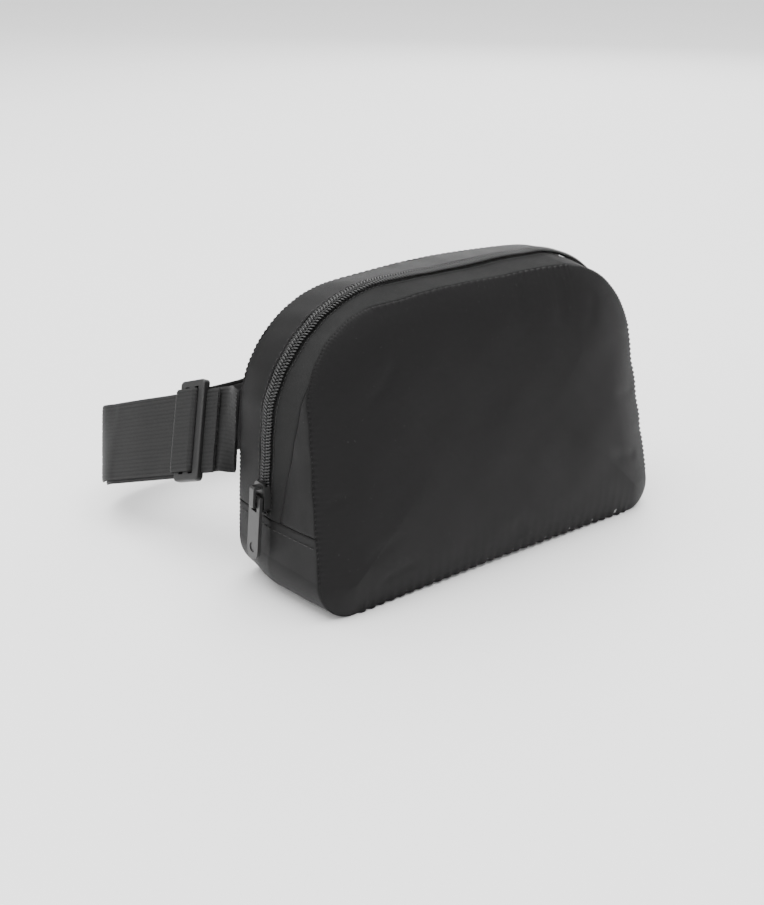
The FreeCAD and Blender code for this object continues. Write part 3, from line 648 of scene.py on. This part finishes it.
def coilRow(name, node, side):
    # a helix flattened to the row's section; along = pitch * turns, across and height follow one ellipse per
    # turn, and the loop leans forward towards the middle so that the two rows make a herringbone
    look = coilLook
    base, normal, length = zipPath(body["zipY"], 1600)
    turns = int(length / look["pitch"]) - 1
    count = turns * look["turn"]
    t = np.arange(count) / look["turn"]
    at = (t + (0.5 if side > 0 else 0.0) + 0.5) * look["pitch"]
    angle = 2 * np.pi * t
    reach = (1 + np.cos(angle)) / 2
    across = side * (0.25 + look["width"] * reach)
    height = look["height"] / 2 + (look["height"] / 2 - look["wire"]) * np.sin(angle) * (1.0 - 0.25 * reach)
    at = at + look["slant"] * (1 - reach) * 0.9
    run = np.linspace(0, length, len(base))
    middle = sampled(at, run, base)
    up = unit(sampled(at, run, normal))
    line = middle + up * height[:, None] + np.array([0.0, 1.0, 0.0]) * across[:, None]
    tangent = unit(np.gradient(line, axis=0))
    first = unit(np.cross(tangent, np.array([0.3, 0.2, 0.93])))
    second = np.cross(tangent, first)
    piece = tubeMesh(name, line, first, second, look["wire"], look["sides"])
    finishPiece(piece, "bag", "zip_coil", finish["coil"], node)
    return line


frontCoil = coilRow("zipCoilFront", "zip_coil_front", -1)
rearCoil = coilRow("zipCoilRear", "zip_coil_rear", 1)

stitchLook = {"length": 2.5, "gap": 0.7, "radius": 0.20, "sides": 6, "rings": 5, "rise": 0.10}


def stitchRow(name, line, normal, look=stitchLook, slot="shell_cloth"):
    # short capsules end to end: ring radius = radius * sqrt(1 - (2t - 1)^4), the ends sink into the cloth
    run = travelled(line, 0)
    pitch = look["length"] + look["gap"]
    count = int(run[-1] / pitch)
    t = np.linspace(0.02, 0.98, look["rings"])
    at = (np.arange(count)[:, None] * pitch + look["gap"] + t[None] * look["length"]).ravel()
    spot = sampled(at, run, line)
    up = unit(sampled(at, run, normal))
    ahead = unit(sampled(at + 0.2, run, line) - sampled(at - 0.2, run, line))
    side = np.cross(ahead, up)
    thick = np.tile(look["radius"] * np.sqrt(1.0 - (2 * t - 1) ** 4), count)
    sink = np.tile(look["rise"] - 0.35 * (2 * t - 1) ** 4, count)
    angle = np.linspace(0, 2 * np.pi, look["sides"], endpoint=False)
    ring = side[:, None] * np.cos(angle)[None, :, None] + up[:, None] * np.sin(angle)[None, :, None]
    points = (spot + up * sink[:, None])[:, None] + ring * thick[:, None, None]
    one = gridQuads(look["rings"], look["sides"], wrapCols=True)
    size = look["rings"] * look["sides"]
    quads = repeated(one, count, size)
    k = np.arange(look["sides"])
    fan = np.stack([np.zeros(look["sides"] - 2, int), k[1:-1], k[2:]], -1)
    last = fan[:, ::-1] + (look["rings"] - 1) * look["sides"]
    caps = np.concatenate([fan, last])
    tris = repeated(caps, count, size)
    piece = makeMesh(name, points.reshape(-1, 3), quads, tris, outward=ring.reshape(-1, 3))
    return finishPiece(piece, "bag", slot, finish["thread"])


def gridLine(grid, normal, fromEdge, distance):
    # the line on a panel's grid at a distance from one of its long edges
    across = travelled(grid, 1)
    if fromEdge == "last":
        across = across[:, -1:] - across
    k = np.argmin(np.abs(across - distance), axis=1)
    rows = np.arange(len(grid))
    return grid[rows, k], normal[rows, k]


def smoothLine(line, width=9):
    # a running mean that keeps both ends
    weights = np.ones(width) / width
    padded = np.concatenate([np.repeat(line[:1], width // 2, 0), line, np.repeat(line[-1:], width // 2, 0)])
    return np.stack([np.convolve(padded[:, k], weights, "valid") for k in range(3)], -1)


line, normal = gridLine(rearGrid, rearNormal, "first", 1.5)
stitchRow("gussetTopstitch", smoothLine(line), normal)
line, normal = gridLine(tapeGrid, tapeNormal, "last", 4.1)
stitchRow("tapeStitchFront", smoothLine(line) + normal * 0.25, normal,
          dict(stitchLook, length=1.6, gap=0.5, radius=0.14))
for name, side, sign in (("Left", leftSeam, -1), ("Right", rightSeam, 1)):
    y = np.linspace(-22.6, 28.5, 160)
    u = side(y)
    drop = 2.0 / 33.0 * sign
    line = settle(skin(u - drop, y) + skinNormal(u - drop, y) * 0.12)
    stitchRow("baseTopstitch" + name, line, skinNormal(u - drop, y))
for k, row in enumerate((frontCoil, rearCoil)):
    base, normal, length = zipPath(body["zipY"], 1600)
    side = -1 if k == 0 else 1
    line = base + normal * (coilLook["height"] + 0.06) + np.array([0.0, 1.0, 0.0]) * side * 2.05
    stitchRow("coilStitch" + ("Front", "Rear")[k], line, normal,
              dict(stitchLook, length=0.95, gap=0.47, radius=0.17, rings=4, sides=5, rise=-0.02),
              slot="zip_tape")
print("zip made")


# ---- inside: foam, linings, bindings and the slip pocket

inner = {"gap": 0.2, "foam": 3.0, "lining": 0.6}
padFace = 1.0 + inner["gap"]
liningFace = padFace + inner["foam"] + inner["gap"]
for face, shape, place, look in (("front", body["front"], onFront, frontLook),
                                 ("back", body["rear"], onRear, backLook)):
    for part, depth, wall, material, slotName in (
            ("Padding", padFace, inner["foam"], "foam", "foam"),
            ("Lining", liningFace, inner["lining"], "lining", "lining_cloth")):
        under = dict(look, around=240, rings=40, seamDip=0.0, pucker=0.0, height=look["height"] * 0.86,
                     fold=0.12 if part == "Lining" else 0.0, wall=wall)
        piece = puffedPanel(face + part, shape, place, under, depth=depth, cut=depth + 0.6)
        finishPiece(piece, "bag", slotName, finish[material], f"{face}_{part.lower()}")


def insideBand(name, node, yFrom, yTo, inset, wall, material, slotName, grid=(300, 8)):
    # one band round the inside of the gusset, a closed ring at a depth below the skin
    s, t = np.meshgrid(np.linspace(0, 8, grid[0], endpoint=False), np.linspace(0, 1, grid[1]), indexing="ij")
    y0 = yFrom(s)
    y = y0 + (yTo(s) - y0) * t
    points = settle(skin(s, y, inset))
    normal = skinNormal(s, y, inset)
    quads = gridQuads(grid[0] + 1, grid[1]) % (grid[0] * grid[1])
    uv = np.stack([travelled(points, 1), travelled(points, 0)], -1) / 10
    piece = thicken(makeMesh(name, points, quads, uv=uv, outward=normal), wall)
    return finishPiece(piece, "bag", slotName, finish[material], node)


clear = liningFace + inner["lining"] + inner["gap"]
liningEnd = body["rearY"] - clear
frontClear = lambda u: onFront(*outline(body["front"], u, 1.2))[..., 1] + clear / math.cos(body["lean"])
insideBand("frontSeamBinding", "front_seam_binding", frontClear,
           lambda u: np.minimum(frontClear(u) + 6.0, 1.1), 2.2, 1.1, "binding", "binding_tape")
insideBand("rearSeamBinding", "rear_seam_binding", constant(liningEnd - 6.0), constant(liningEnd), 2.2, 1.1,
           "binding", "binding_tape")
insideBand("gussetLiningRear", "gusset_lining", constant(16.2), constant(liningEnd), 1.4, 0.6,
           "lining", "lining_cloth")
insideBand("gussetLiningFront", "gusset_lining", frontClear, lambda u: np.maximum(frontClear(u) + 0.4, 1.0),
           1.4, 0.6, "lining", "lining_cloth")


def sheetPanel(name, node, x0, x1, z0, z1, y, bow, wall, material, slotName):
    # an upright sheet whose middle stands bow mm in front of its edges: bow * sin(pi s) * sin(pi t / 2)
    s, t = np.meshgrid(np.linspace(0, 1, 60), np.linspace(0, 1, 36), indexing="ij")
    depth = y - bow * np.sin(np.pi * s) * t ** 0.8 - 0.15 * cloudy(s * 130, t * 78, 31, 18.0) * t
    points = np.stack([x0 + (x1 - x0) * s, depth, z0 + (z1 - z0) * t], -1)
    normal = np.zeros_like(points)
    normal[..., 1] = -1.0
    uv = np.stack([s * (x1 - x0), t * (z1 - z0)], -1) / 10
    piece = thicken(makeMesh(name, points, gridQuads(60, 36), uv=uv, outward=normal), wall)
    return finishPiece(piece, "bag", slotName, finish[material], node)


low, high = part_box("inner_pocket")
sheetPanel("innerPocket", "inner_pocket", low.x / metre, high.x / metre, low.z / metre, high.z / metre,
           low.y / metre + 0.6, 0.8, 0.55, "lining", "lining_cloth")
low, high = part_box("pocket_hem")
sheetPanel("pocketHem", "pocket_hem", low.x / metre, high.x / metre, low.z / metre, high.z / metre,
           low.y / metre, 0.8, 0.7, "binding", "lining_cloth")
print("inside made")


# ---- the belt: ribbed webbing carried along its route

belt = {
    "width": 38.0, "thick": 1.5, "gap": 0.5, "ribs": 21, "ribHeight": 0.26, "edge": 1.3, "profile": 126,
    "root": (-101.3, 30.6, 68.5), "rootLean": 6.0, "glide": (-107.0, 58.0, 60.3),
    "runEnd": (-122.5, 112.0, 40.5),
    "lead": 17.5, "runLean": 28.0, "upright": 0.45, "rootReach": 4.0, "turnIn": 22.0, "turnOut": 26.0,
    "backY": 140.0, "backZ": 26.0,
    "backHalf": 90.0, "webEnd": 5.4, "spread": 2.3, "spreadStart": 46.0, "spreadRamp": 14.0,
    "innerStart": 10.3, "innerDrop": 1.3,
}


def stations(points, tangent, lean):
    # outward normal and width direction of the belt at each point; the width starts upright and is turned
    # round the tangent by lean degrees
    tangent = unit(tangent)
    up = np.array([0.0, 0.0, 1.0])
    width = unit(up - tangent * (tangent @ up)[..., None])
    angle = np.radians(lean)[..., None]
    width = width * np.cos(angle) + np.cross(tangent, width) * np.sin(angle)
    return points, np.cross(width, tangent), width


def bezier(start, startDir, startReach, end, endDir, endReach, leans, count, settled=1.0):
    # a cubic curve that leaves start along startDir and arrives along endDir; the lean eases from the first
    # to the second value over the settled share of it
    poles = np.array([start, start + startDir * startReach, end - endDir * endReach, end])
    t = np.linspace(0, 1, count)[:, None]
    s = 1 - t
    points = poles[0] * s**3 + poles[1] * 3 * s**2 * t + poles[2] * 3 * s * t**2 + poles[3] * t**3
    tangent = (poles[1] - poles[0]) * s**2 + (poles[2] - poles[1]) * 2 * s * t + (poles[3] - poles[2]) * t**2
    ease = 0.5 - 0.5 * np.cos(np.pi * np.minimum(t[:, 0] / settled, 1.0))
    return stations(points, tangent, leans[0] + (leans[1] - leans[0]) * ease)


def joined(*runs):
    # runs of stations end to end, without the doubled point where two meet
    return tuple(np.concatenate([run[k][1 if i else 0:] for i, run in enumerate(runs)]) for k in range(3))


glideSpot, runEnd = np.array(belt["glide"]), np.array(belt["runEnd"])
runWay = unit(runEnd - glideSpot)
runStart = glideSpot - runWay * belt["lead"]
backWay, rightWay = np.array([0.0, 1.0, 0.0]), np.array([1.0, 0.0, 0.0])
backStart = np.array([-belt["backHalf"], belt["backY"], belt["backZ"]])


def straight(start, end, lean, count):
    points = start + (end - start) * np.linspace(0, 1, count)[:, None]
    return stations(points, np.tile(end - start, (count, 1)), np.full(count, float(lean)))


rootRun = bezier(np.array(belt["root"]), backWay, belt["rootReach"], runStart, runWay, belt["rootReach"],
                 (belt["rootLean"], belt["runLean"]), 14)
longRun = straight(runStart, runEnd, belt["runLean"], 60)
turnRun = bezier(runEnd, runWay, belt["turnIn"], backStart, rightWay, belt["turnOut"],
                 (belt["runLean"], 0.0), 70, belt["upright"])
backRun = straight(backStart, np.array([belt["webEnd"], belt["backY"], belt["backZ"]]), 0.0, 80)


def ribbed(name, run, lift, seed, thick=None, capStart=True, capEnd=True, sag=0.25):
    # a flat loop of profile points at each station: half thickness * (1 - a^10)^(1/4) across the width, plus
    # rounded ribs rib * |cos(pi * ribs * a / 2)| on both faces and a slow waver of the whole strap
    points, normal, width = run
    count, half = len(points), belt["width"] / 2
    thick = belt["thick"] if thick is None else thick
    k = belt["profile"] // 2
    a = -np.cos(np.linspace(0, np.pi, k)) * 0.55 + np.linspace(-1, 1, k) * 0.45
    shape = (1.0 - np.abs(a) ** 10) ** 0.25 * (thick / 2 - belt["ribHeight"])
    rib = belt["ribHeight"] * np.abs(np.cos(np.pi * belt["ribs"] * a / 2)) ** 0.7
    rib = rib * (1 - smoothStep(np.abs(a), 0.93, 0.97))
    across = np.concatenate([a, a[::-1]]) * half
    level = np.concatenate([shape + rib, -(shape + rib)[::-1]])
    travel = travelled(points, 0)
    lift = np.broadcast_to(np.asarray(lift, float), (count,))
    ends = smoothStep(travel, 0.0, 18.0) * smoothStep(travel[-1] - travel, 0.0, 18.0)
    waver = sag * ripple(travel, seed, 31.0, 47.0, 83.0) * ends
    bow = -0.12 * ends
    centre = points + normal * (lift + waver)[:, None]
    cup = (across / half) ** 2
    grid = (centre[:, None] + width[:, None] * across[None, :, None]
            + normal[:, None] * (level[None] + bow[:, None] * cup[None])[..., None])
    outward = normal[:, None] * np.sign(level)[None, :, None] + np.zeros_like(grid)
    quads = gridQuads(count, len(across), wrapCols=True)
    ring = len(across)
    tris = []
    j = np.arange(ring)
    flat = grid.reshape(-1, 3)
    extra = []
    for want, first, at, turn in ((capStart, 0, 0, 1), (capEnd, (count - 1) * ring, -1, -1)):
        if want:
            middle = count * ring + len(extra)
            extra.append(grid[at].mean(0))
            cap = np.stack([np.full(ring, middle), first + (j + 1) % ring, first + j], -1)
            tris.append(cap[:, ::turn] if turn > 0 else cap[:, ::-1])
    tris = np.concatenate(tris) if tris else None
    flat = np.concatenate([flat, np.array(extra).reshape(-1, 3)])
    outward = np.concatenate([outward.reshape(-1, 3), np.zeros((len(extra), 3))])
    uv = np.stack(np.broadcast_arrays(across[None] + half, travel[:, None]), -1).reshape(-1, 2)
    uv = np.concatenate([uv, np.zeros((len(extra), 2))])
    return makeMesh(name, flat, quads, tris, uv=uv, outward=outward)


def rampLift(run, near, far):
    # the layer's distance from the middle line: near, then a smooth ramp to far before the buckle
    x = run[0][:, 0]
    start = belt["webEnd"] - belt["spreadStart"]
    back = run[0][:, 1] > belt["backY"] - 1.0
    return near + (far - near) * smoothStep(x, start, start + belt["spreadRamp"]) * back


near, far = belt["gap"] / 2 + belt["thick"] / 2, belt["spread"] + belt["thick"] / 2
outerRun = joined(rootRun, longRun, turnRun, backRun)
piece = ribbed("beltWebbingOuter", outerRun, rampLift(outerRun, near, far), 41)
finishPiece(piece, "bag", "webbing", finish["webbing"], "belt_webbing_outer")
innerStart = glideSpot + runWay * belt["innerStart"]
secondRun = joined(straight(innerStart, runEnd, belt["runLean"], 40), turnRun, backRun)
innerRun = (secondRun[0] - secondRun[2] * belt["innerDrop"], secondRun[1], secondRun[2])
piece = ribbed("beltWebbingInner", innerRun, -rampLift(secondRun, near, far), 41)
finishPiece(piece, "bag", "webbing", finish["webbing"], "belt_webbing_inner")

# the short right strap: the same route mirrored, round the socket's bar and back on itself
mirror = np.array([-1.0, 1.0, 1.0])
buckle = {"x": 18.0, "socket": 36.0, "bar": 4.0, "slot": 4.6, "shoulder": 8.0, "tail": 18.0}
socketBar = buckle["x"] + buckle["socket"] - buckle["bar"]
loopMid = buckle["bar"] / 2 + 0.3 + belt["thick"] / 2
flatEnd = np.array([-(socketBar - buckle["slot"] / 2), belt["backY"], belt["backZ"]])
rightRun = joined(rootRun, longRun, turnRun, straight(backStart, flatEnd, 0.0, 60))
lift = belt["thick"] / 2 + (loopMid - belt["thick"] / 2) * smoothStep(rightRun[0][:, 0], -82.0, -68.0) * (
    rightRun[0][:, 1] > belt["backY"] - 1.0)
mirrored = (rightRun[0] * mirror, rightRun[1] * mirror, rightRun[2] * mirror)
angle = np.linspace(0, np.pi, 16)[1:]
hub = flatEnd * mirror
loopPoints = hub + np.stack([-loopMid * 0.6 * np.sin(angle), 0 * angle, 0 * angle], -1)
loopNormal = np.stack([-np.sin(angle), np.cos(angle), 0 * angle], -1)
loopLift = loopMid * np.abs(np.cos(angle))
tail = np.linspace(hub[0], socketBar + buckle["bar"] / 2 + buckle["tail"], 16)[1:]
tailPoints = np.stack([tail, np.full(15, belt["backY"]), np.full(15, belt["backZ"])], -1)
tailNormal = np.tile([0.0, -1.0, 0.0], (15, 1))
upright = np.tile([0.0, 0.0, 1.0], (30, 1))
rightStrap = (np.concatenate([mirrored[0], loopPoints, tailPoints]),
              np.concatenate([mirrored[1], loopNormal, tailNormal]), np.concatenate([mirrored[2], upright]))
lift = np.concatenate([lift, loopLift, np.full(15, loopMid)])
piece = ribbed("beltWebbingRight", rightStrap, lift, 43, sag=0.0)
finishPiece(piece, "bag", "webbing", finish["webbing"], "belt_webbing_right")
print("belt made")

# webbing over the tri-glide: up through the slot, over two bars and round the far bar's edge
glide = {"seat": belt["gap"] / 2 + belt["thick"] + 0.3, "deep": 3.4, "clear": 0.3, "reach": 8.25,
         "bar": 3.6, "corner": 1.2, "tail": 8.0}
_, glideOut, glideWide = (v[0] for v in stations(glideSpot[None], runWay[None], np.array([belt["runLean"]])))


def glidePath(corners, radius, count):
    # straight runs between the corners with each corner rounded by a circle of the given radius
    corners = np.array(corners, float)
    parts = [corners[:1]]
    for before, here, after in zip(corners, corners[1:], corners[2:]):
        a, b = unit(before - here), unit(after - here)
        start, centre = here + a * radius, here + (a + b) * radius
        t = np.linspace(0, np.pi / 2, count)[:, None]
        parts.append(centre - b * radius * np.cos(t) - a * radius * np.sin(t))
    parts.append(corners[-1:])
    line = np.concatenate(parts)
    run = travelled(line, 0)
    even = np.linspace(0, run[-1], 56)
    return sampled(even, run, line)


def glideStrip(name, corners, seed, node, bodyName):
    flat = glidePath(corners, glide["corner"], 10)
    points = glideSpot + glideOut * flat[:, :1] + runWay * flat[:, 1:]
    way = unit(np.gradient(flat, axis=0))
    normal = glideOut * way[:, 1:] - runWay * way[:, :1]
    width = np.tile(glideWide, (len(points), 1))
    piece = ribbed(name, (points, normal, width), 0.0, seed, sag=0.0)
    return finishPiece(piece, bodyName, "webbing", finish["webbing"], node)


half = belt["thick"] / 2
slotAt = -glide["reach"] + glide["bar"] + glide["clear"] + half
topAt = glide["seat"] + glide["deep"] + glide["clear"] + half
farAt = glide["reach"] + glide["clear"] + half
startAt = glide["seat"] + 0.1
glideStrip("triglideWebbingLoop", [(startAt, slotAt), (topAt, slotAt), (topAt, farAt), (startAt, farAt)], 51,
           "triglide_webbing_loop", "belt_adjuster")

rawEnd = np.linspace(-glide["reach"] - glide["tail"], -glide["reach"] - glide["clear"], 24)
points = glideSpot + glideOut * (glide["seat"] + half) + runWay * rawEnd[:, None] - glideWide * 0.7
way = np.tile(glideOut, (24, 1))
piece = ribbed("webbingSewnEnd", (points, way, np.tile(glideWide, (24, 1))), 0.0, 52, sag=0.0)
finishPiece(piece, "belt_adjuster", "webbing", finish["webbing"], "webbing_sewn_end")

# loose yarn ends along the cut edge of the webbing: short bent hairs, radius falling to nothing
rng = np.random.default_rng(5)
hairs, rings, sides = 150, 5, 4
foot = rng.uniform(-18.5, 18.5, hairs)
size = rng.uniform(0.5, 1.7, hairs)
drift = rng.normal(0, 0.35, (hairs, 2))
t = np.linspace(0, 1, rings)
hairBase = (glideSpot + glideOut * (glide["seat"] + half) - runWay * (glide["reach"] + glide["tail"] - 0.3)
            - glideWide * 0.7)
root = hairBase + glideWide * foot[:, None] + glideOut * rng.uniform(-0.5, 0.5, hairs)[:, None]
reachOut = (-runWay[None, None] * t[None, :, None] * size[:, None, None]
            + glideWide[None, None] * (drift[:, :1] * t[None] ** 2)[..., None]
            + glideOut[None, None] * (drift[:, 1:] * t[None] ** 2)[..., None])
line = (root[:, None] + reachOut).reshape(-1, 3)
angle = np.linspace(0, 2 * np.pi, sides, endpoint=False)
ring = glideWide[None] * np.cos(angle)[:, None] + glideOut[None] * np.sin(angle)[:, None]
fade = np.tile(0.09 * (1 - 0.8 * t), hairs)
points = line[:, None] + ring[None] * fade[:, None, None]
one = gridQuads(rings, sides, wrapCols=True)
quads = repeated(one, hairs, rings * sides)
caps = np.array([[0, 1, 2], [0, 2, 3]])
caps = np.concatenate([caps, caps[:, ::-1] + (rings - 1) * sides])
tris = repeated(caps, hairs, rings * sides)
piece = makeMesh("rawEndYarns", points.reshape(-1, 3), quads, tris, outward=np.tile(ring, (len(line), 1)))
finishPiece(piece, "belt_adjuster", "webbing", finish["thread"])

# the belt's turn round the tongue's bar
tongueSlot = buckle["x"] - buckle["shoulder"] - buckle["slot"]
angle = np.linspace(-0.5 * np.pi, 0.5 * np.pi, 20)
points = np.stack([tongueSlot - 0.2 + np.cos(angle), belt["backY"] + 3.0 * np.sin(angle),
                   np.full(20, belt["backZ"])], -1)
way = np.stack([np.cos(angle), np.sin(angle), 0 * angle], -1)
piece = ribbed("tongueWebbingLoop", (points, way, np.tile([0.0, 0.0, 1.0], (20, 1))), 0.0, 53,
               thick=1.3, sag=0.0)
finishPiece(piece, "buckle_insert", "webbing", finish["webbing"], "tongue_webbing_loop")
print("webbing round the buckles made")

# ---- parts kept from the frame

for name, look in (("zip_slider_body", "metal"), ("zip_pull_tab", "metal"), ("triglide", "plastic"),
                   ("buckle_socket", "plastic"), ("buckle_tongue", "plastic"),
                   ("buckle_arm_upper", "plastic"),
                   ("buckle_arm_lower", "plastic")):
    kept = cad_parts[name]
    kept.data.materials.clear()
    kept.data.materials.append(finish[look])

# ---- studio

studio = {"azimuth": -36.2, "elevation": 24.1, "distance": 550.0, "target": (-41.9, 6.5, 51.6), "lens": 48.48}
azimuth, elevation = math.radians(studio["azimuth"]), math.radians(studio["elevation"])
flat = math.cos(elevation)
away = Vector((math.sin(azimuth) * flat, -math.cos(azimuth) * flat, math.sin(elevation)))
camera = bpy.data.objects.new("camera", bpy.data.cameras.new("camera"))
bpy.context.scene.collection.objects.link(camera)
camera.location = (Vector(studio["target"]) + away * studio["distance"]) * metre
camera.rotation_mode = "QUATERNION"
camera.rotation_quaternion = (-away).to_track_quat("-Z", "Y")
camera.data.lens, camera.data.sensor_width = studio["lens"], 36.0
camera.data.clip_start, camera.data.clip_end = 0.01, 50.0
bpy.context.scene.camera = camera

x, y = np.meshgrid(np.linspace(-9e4, 9e4, 9), np.linspace(-9e4, 9e4, 9), indexing="ij")
floorMaterial = Shader("paleFloor", Specular_IOR_Level=0.3)
grain = floorMaterial.noise(floorMaterial.node("ShaderNodeTexCoord")[3], 3.0)
floorMaterial.into(Base_Color=floorMaterial.mix(grain, grey(0.975), grey(0.985)), Roughness=0.5 + 0.1 * grain)
floor = makeMesh("floor", np.stack([x, y, 0 * x - 0.05], -1), gridQuads(9, 9),
                 outward=np.tile([0.0, 0.0, 1.0], (81, 1)))
floor.data.materials.append(floorMaterial.material)

lights = [("overhead", (-0.1, 0.35, 1.9), 2.6, 66.0), ("leftSoft", (-1.6, 0.2, 0.9), 1.2, 9.0),
          ("frontSoft", (-0.5, -2.0, 0.9), 1.4, 5.0), ("rightBack", (1.4, 1.2, 1.0), 1.2, 14.0)]
for name, place, size, power in lights:
    lamp = bpy.data.lights.new(name, "AREA")
    lamp.shape, lamp.size, lamp.energy = "SQUARE", size, power
    holder = bpy.data.objects.new(name, lamp)
    bpy.context.scene.collection.objects.link(holder)
    holder.location = place
    holder.rotation_mode = "QUATERNION"
    holder.rotation_quaternion = (Vector((-0.02, 0.05, 0.05)) - Vector(place)).to_track_quat("-Z", "Y")
sun = bpy.data.lights.new("sun", "SUN")
sun.energy, sun.angle = 1.9, 1.2
holder = bpy.data.objects.new("sun", sun)
bpy.context.scene.collection.objects.link(holder)
world = bpy.data.worlds.new("studio")
bpy.context.scene.world = world
world.use_nodes = True
world.node_tree.nodes["Background"].inputs["Color"].default_value = (1.0, 1.0, 1.0, 1.0)
world.node_tree.nodes["Background"].inputs["Strength"].default_value = 0.8
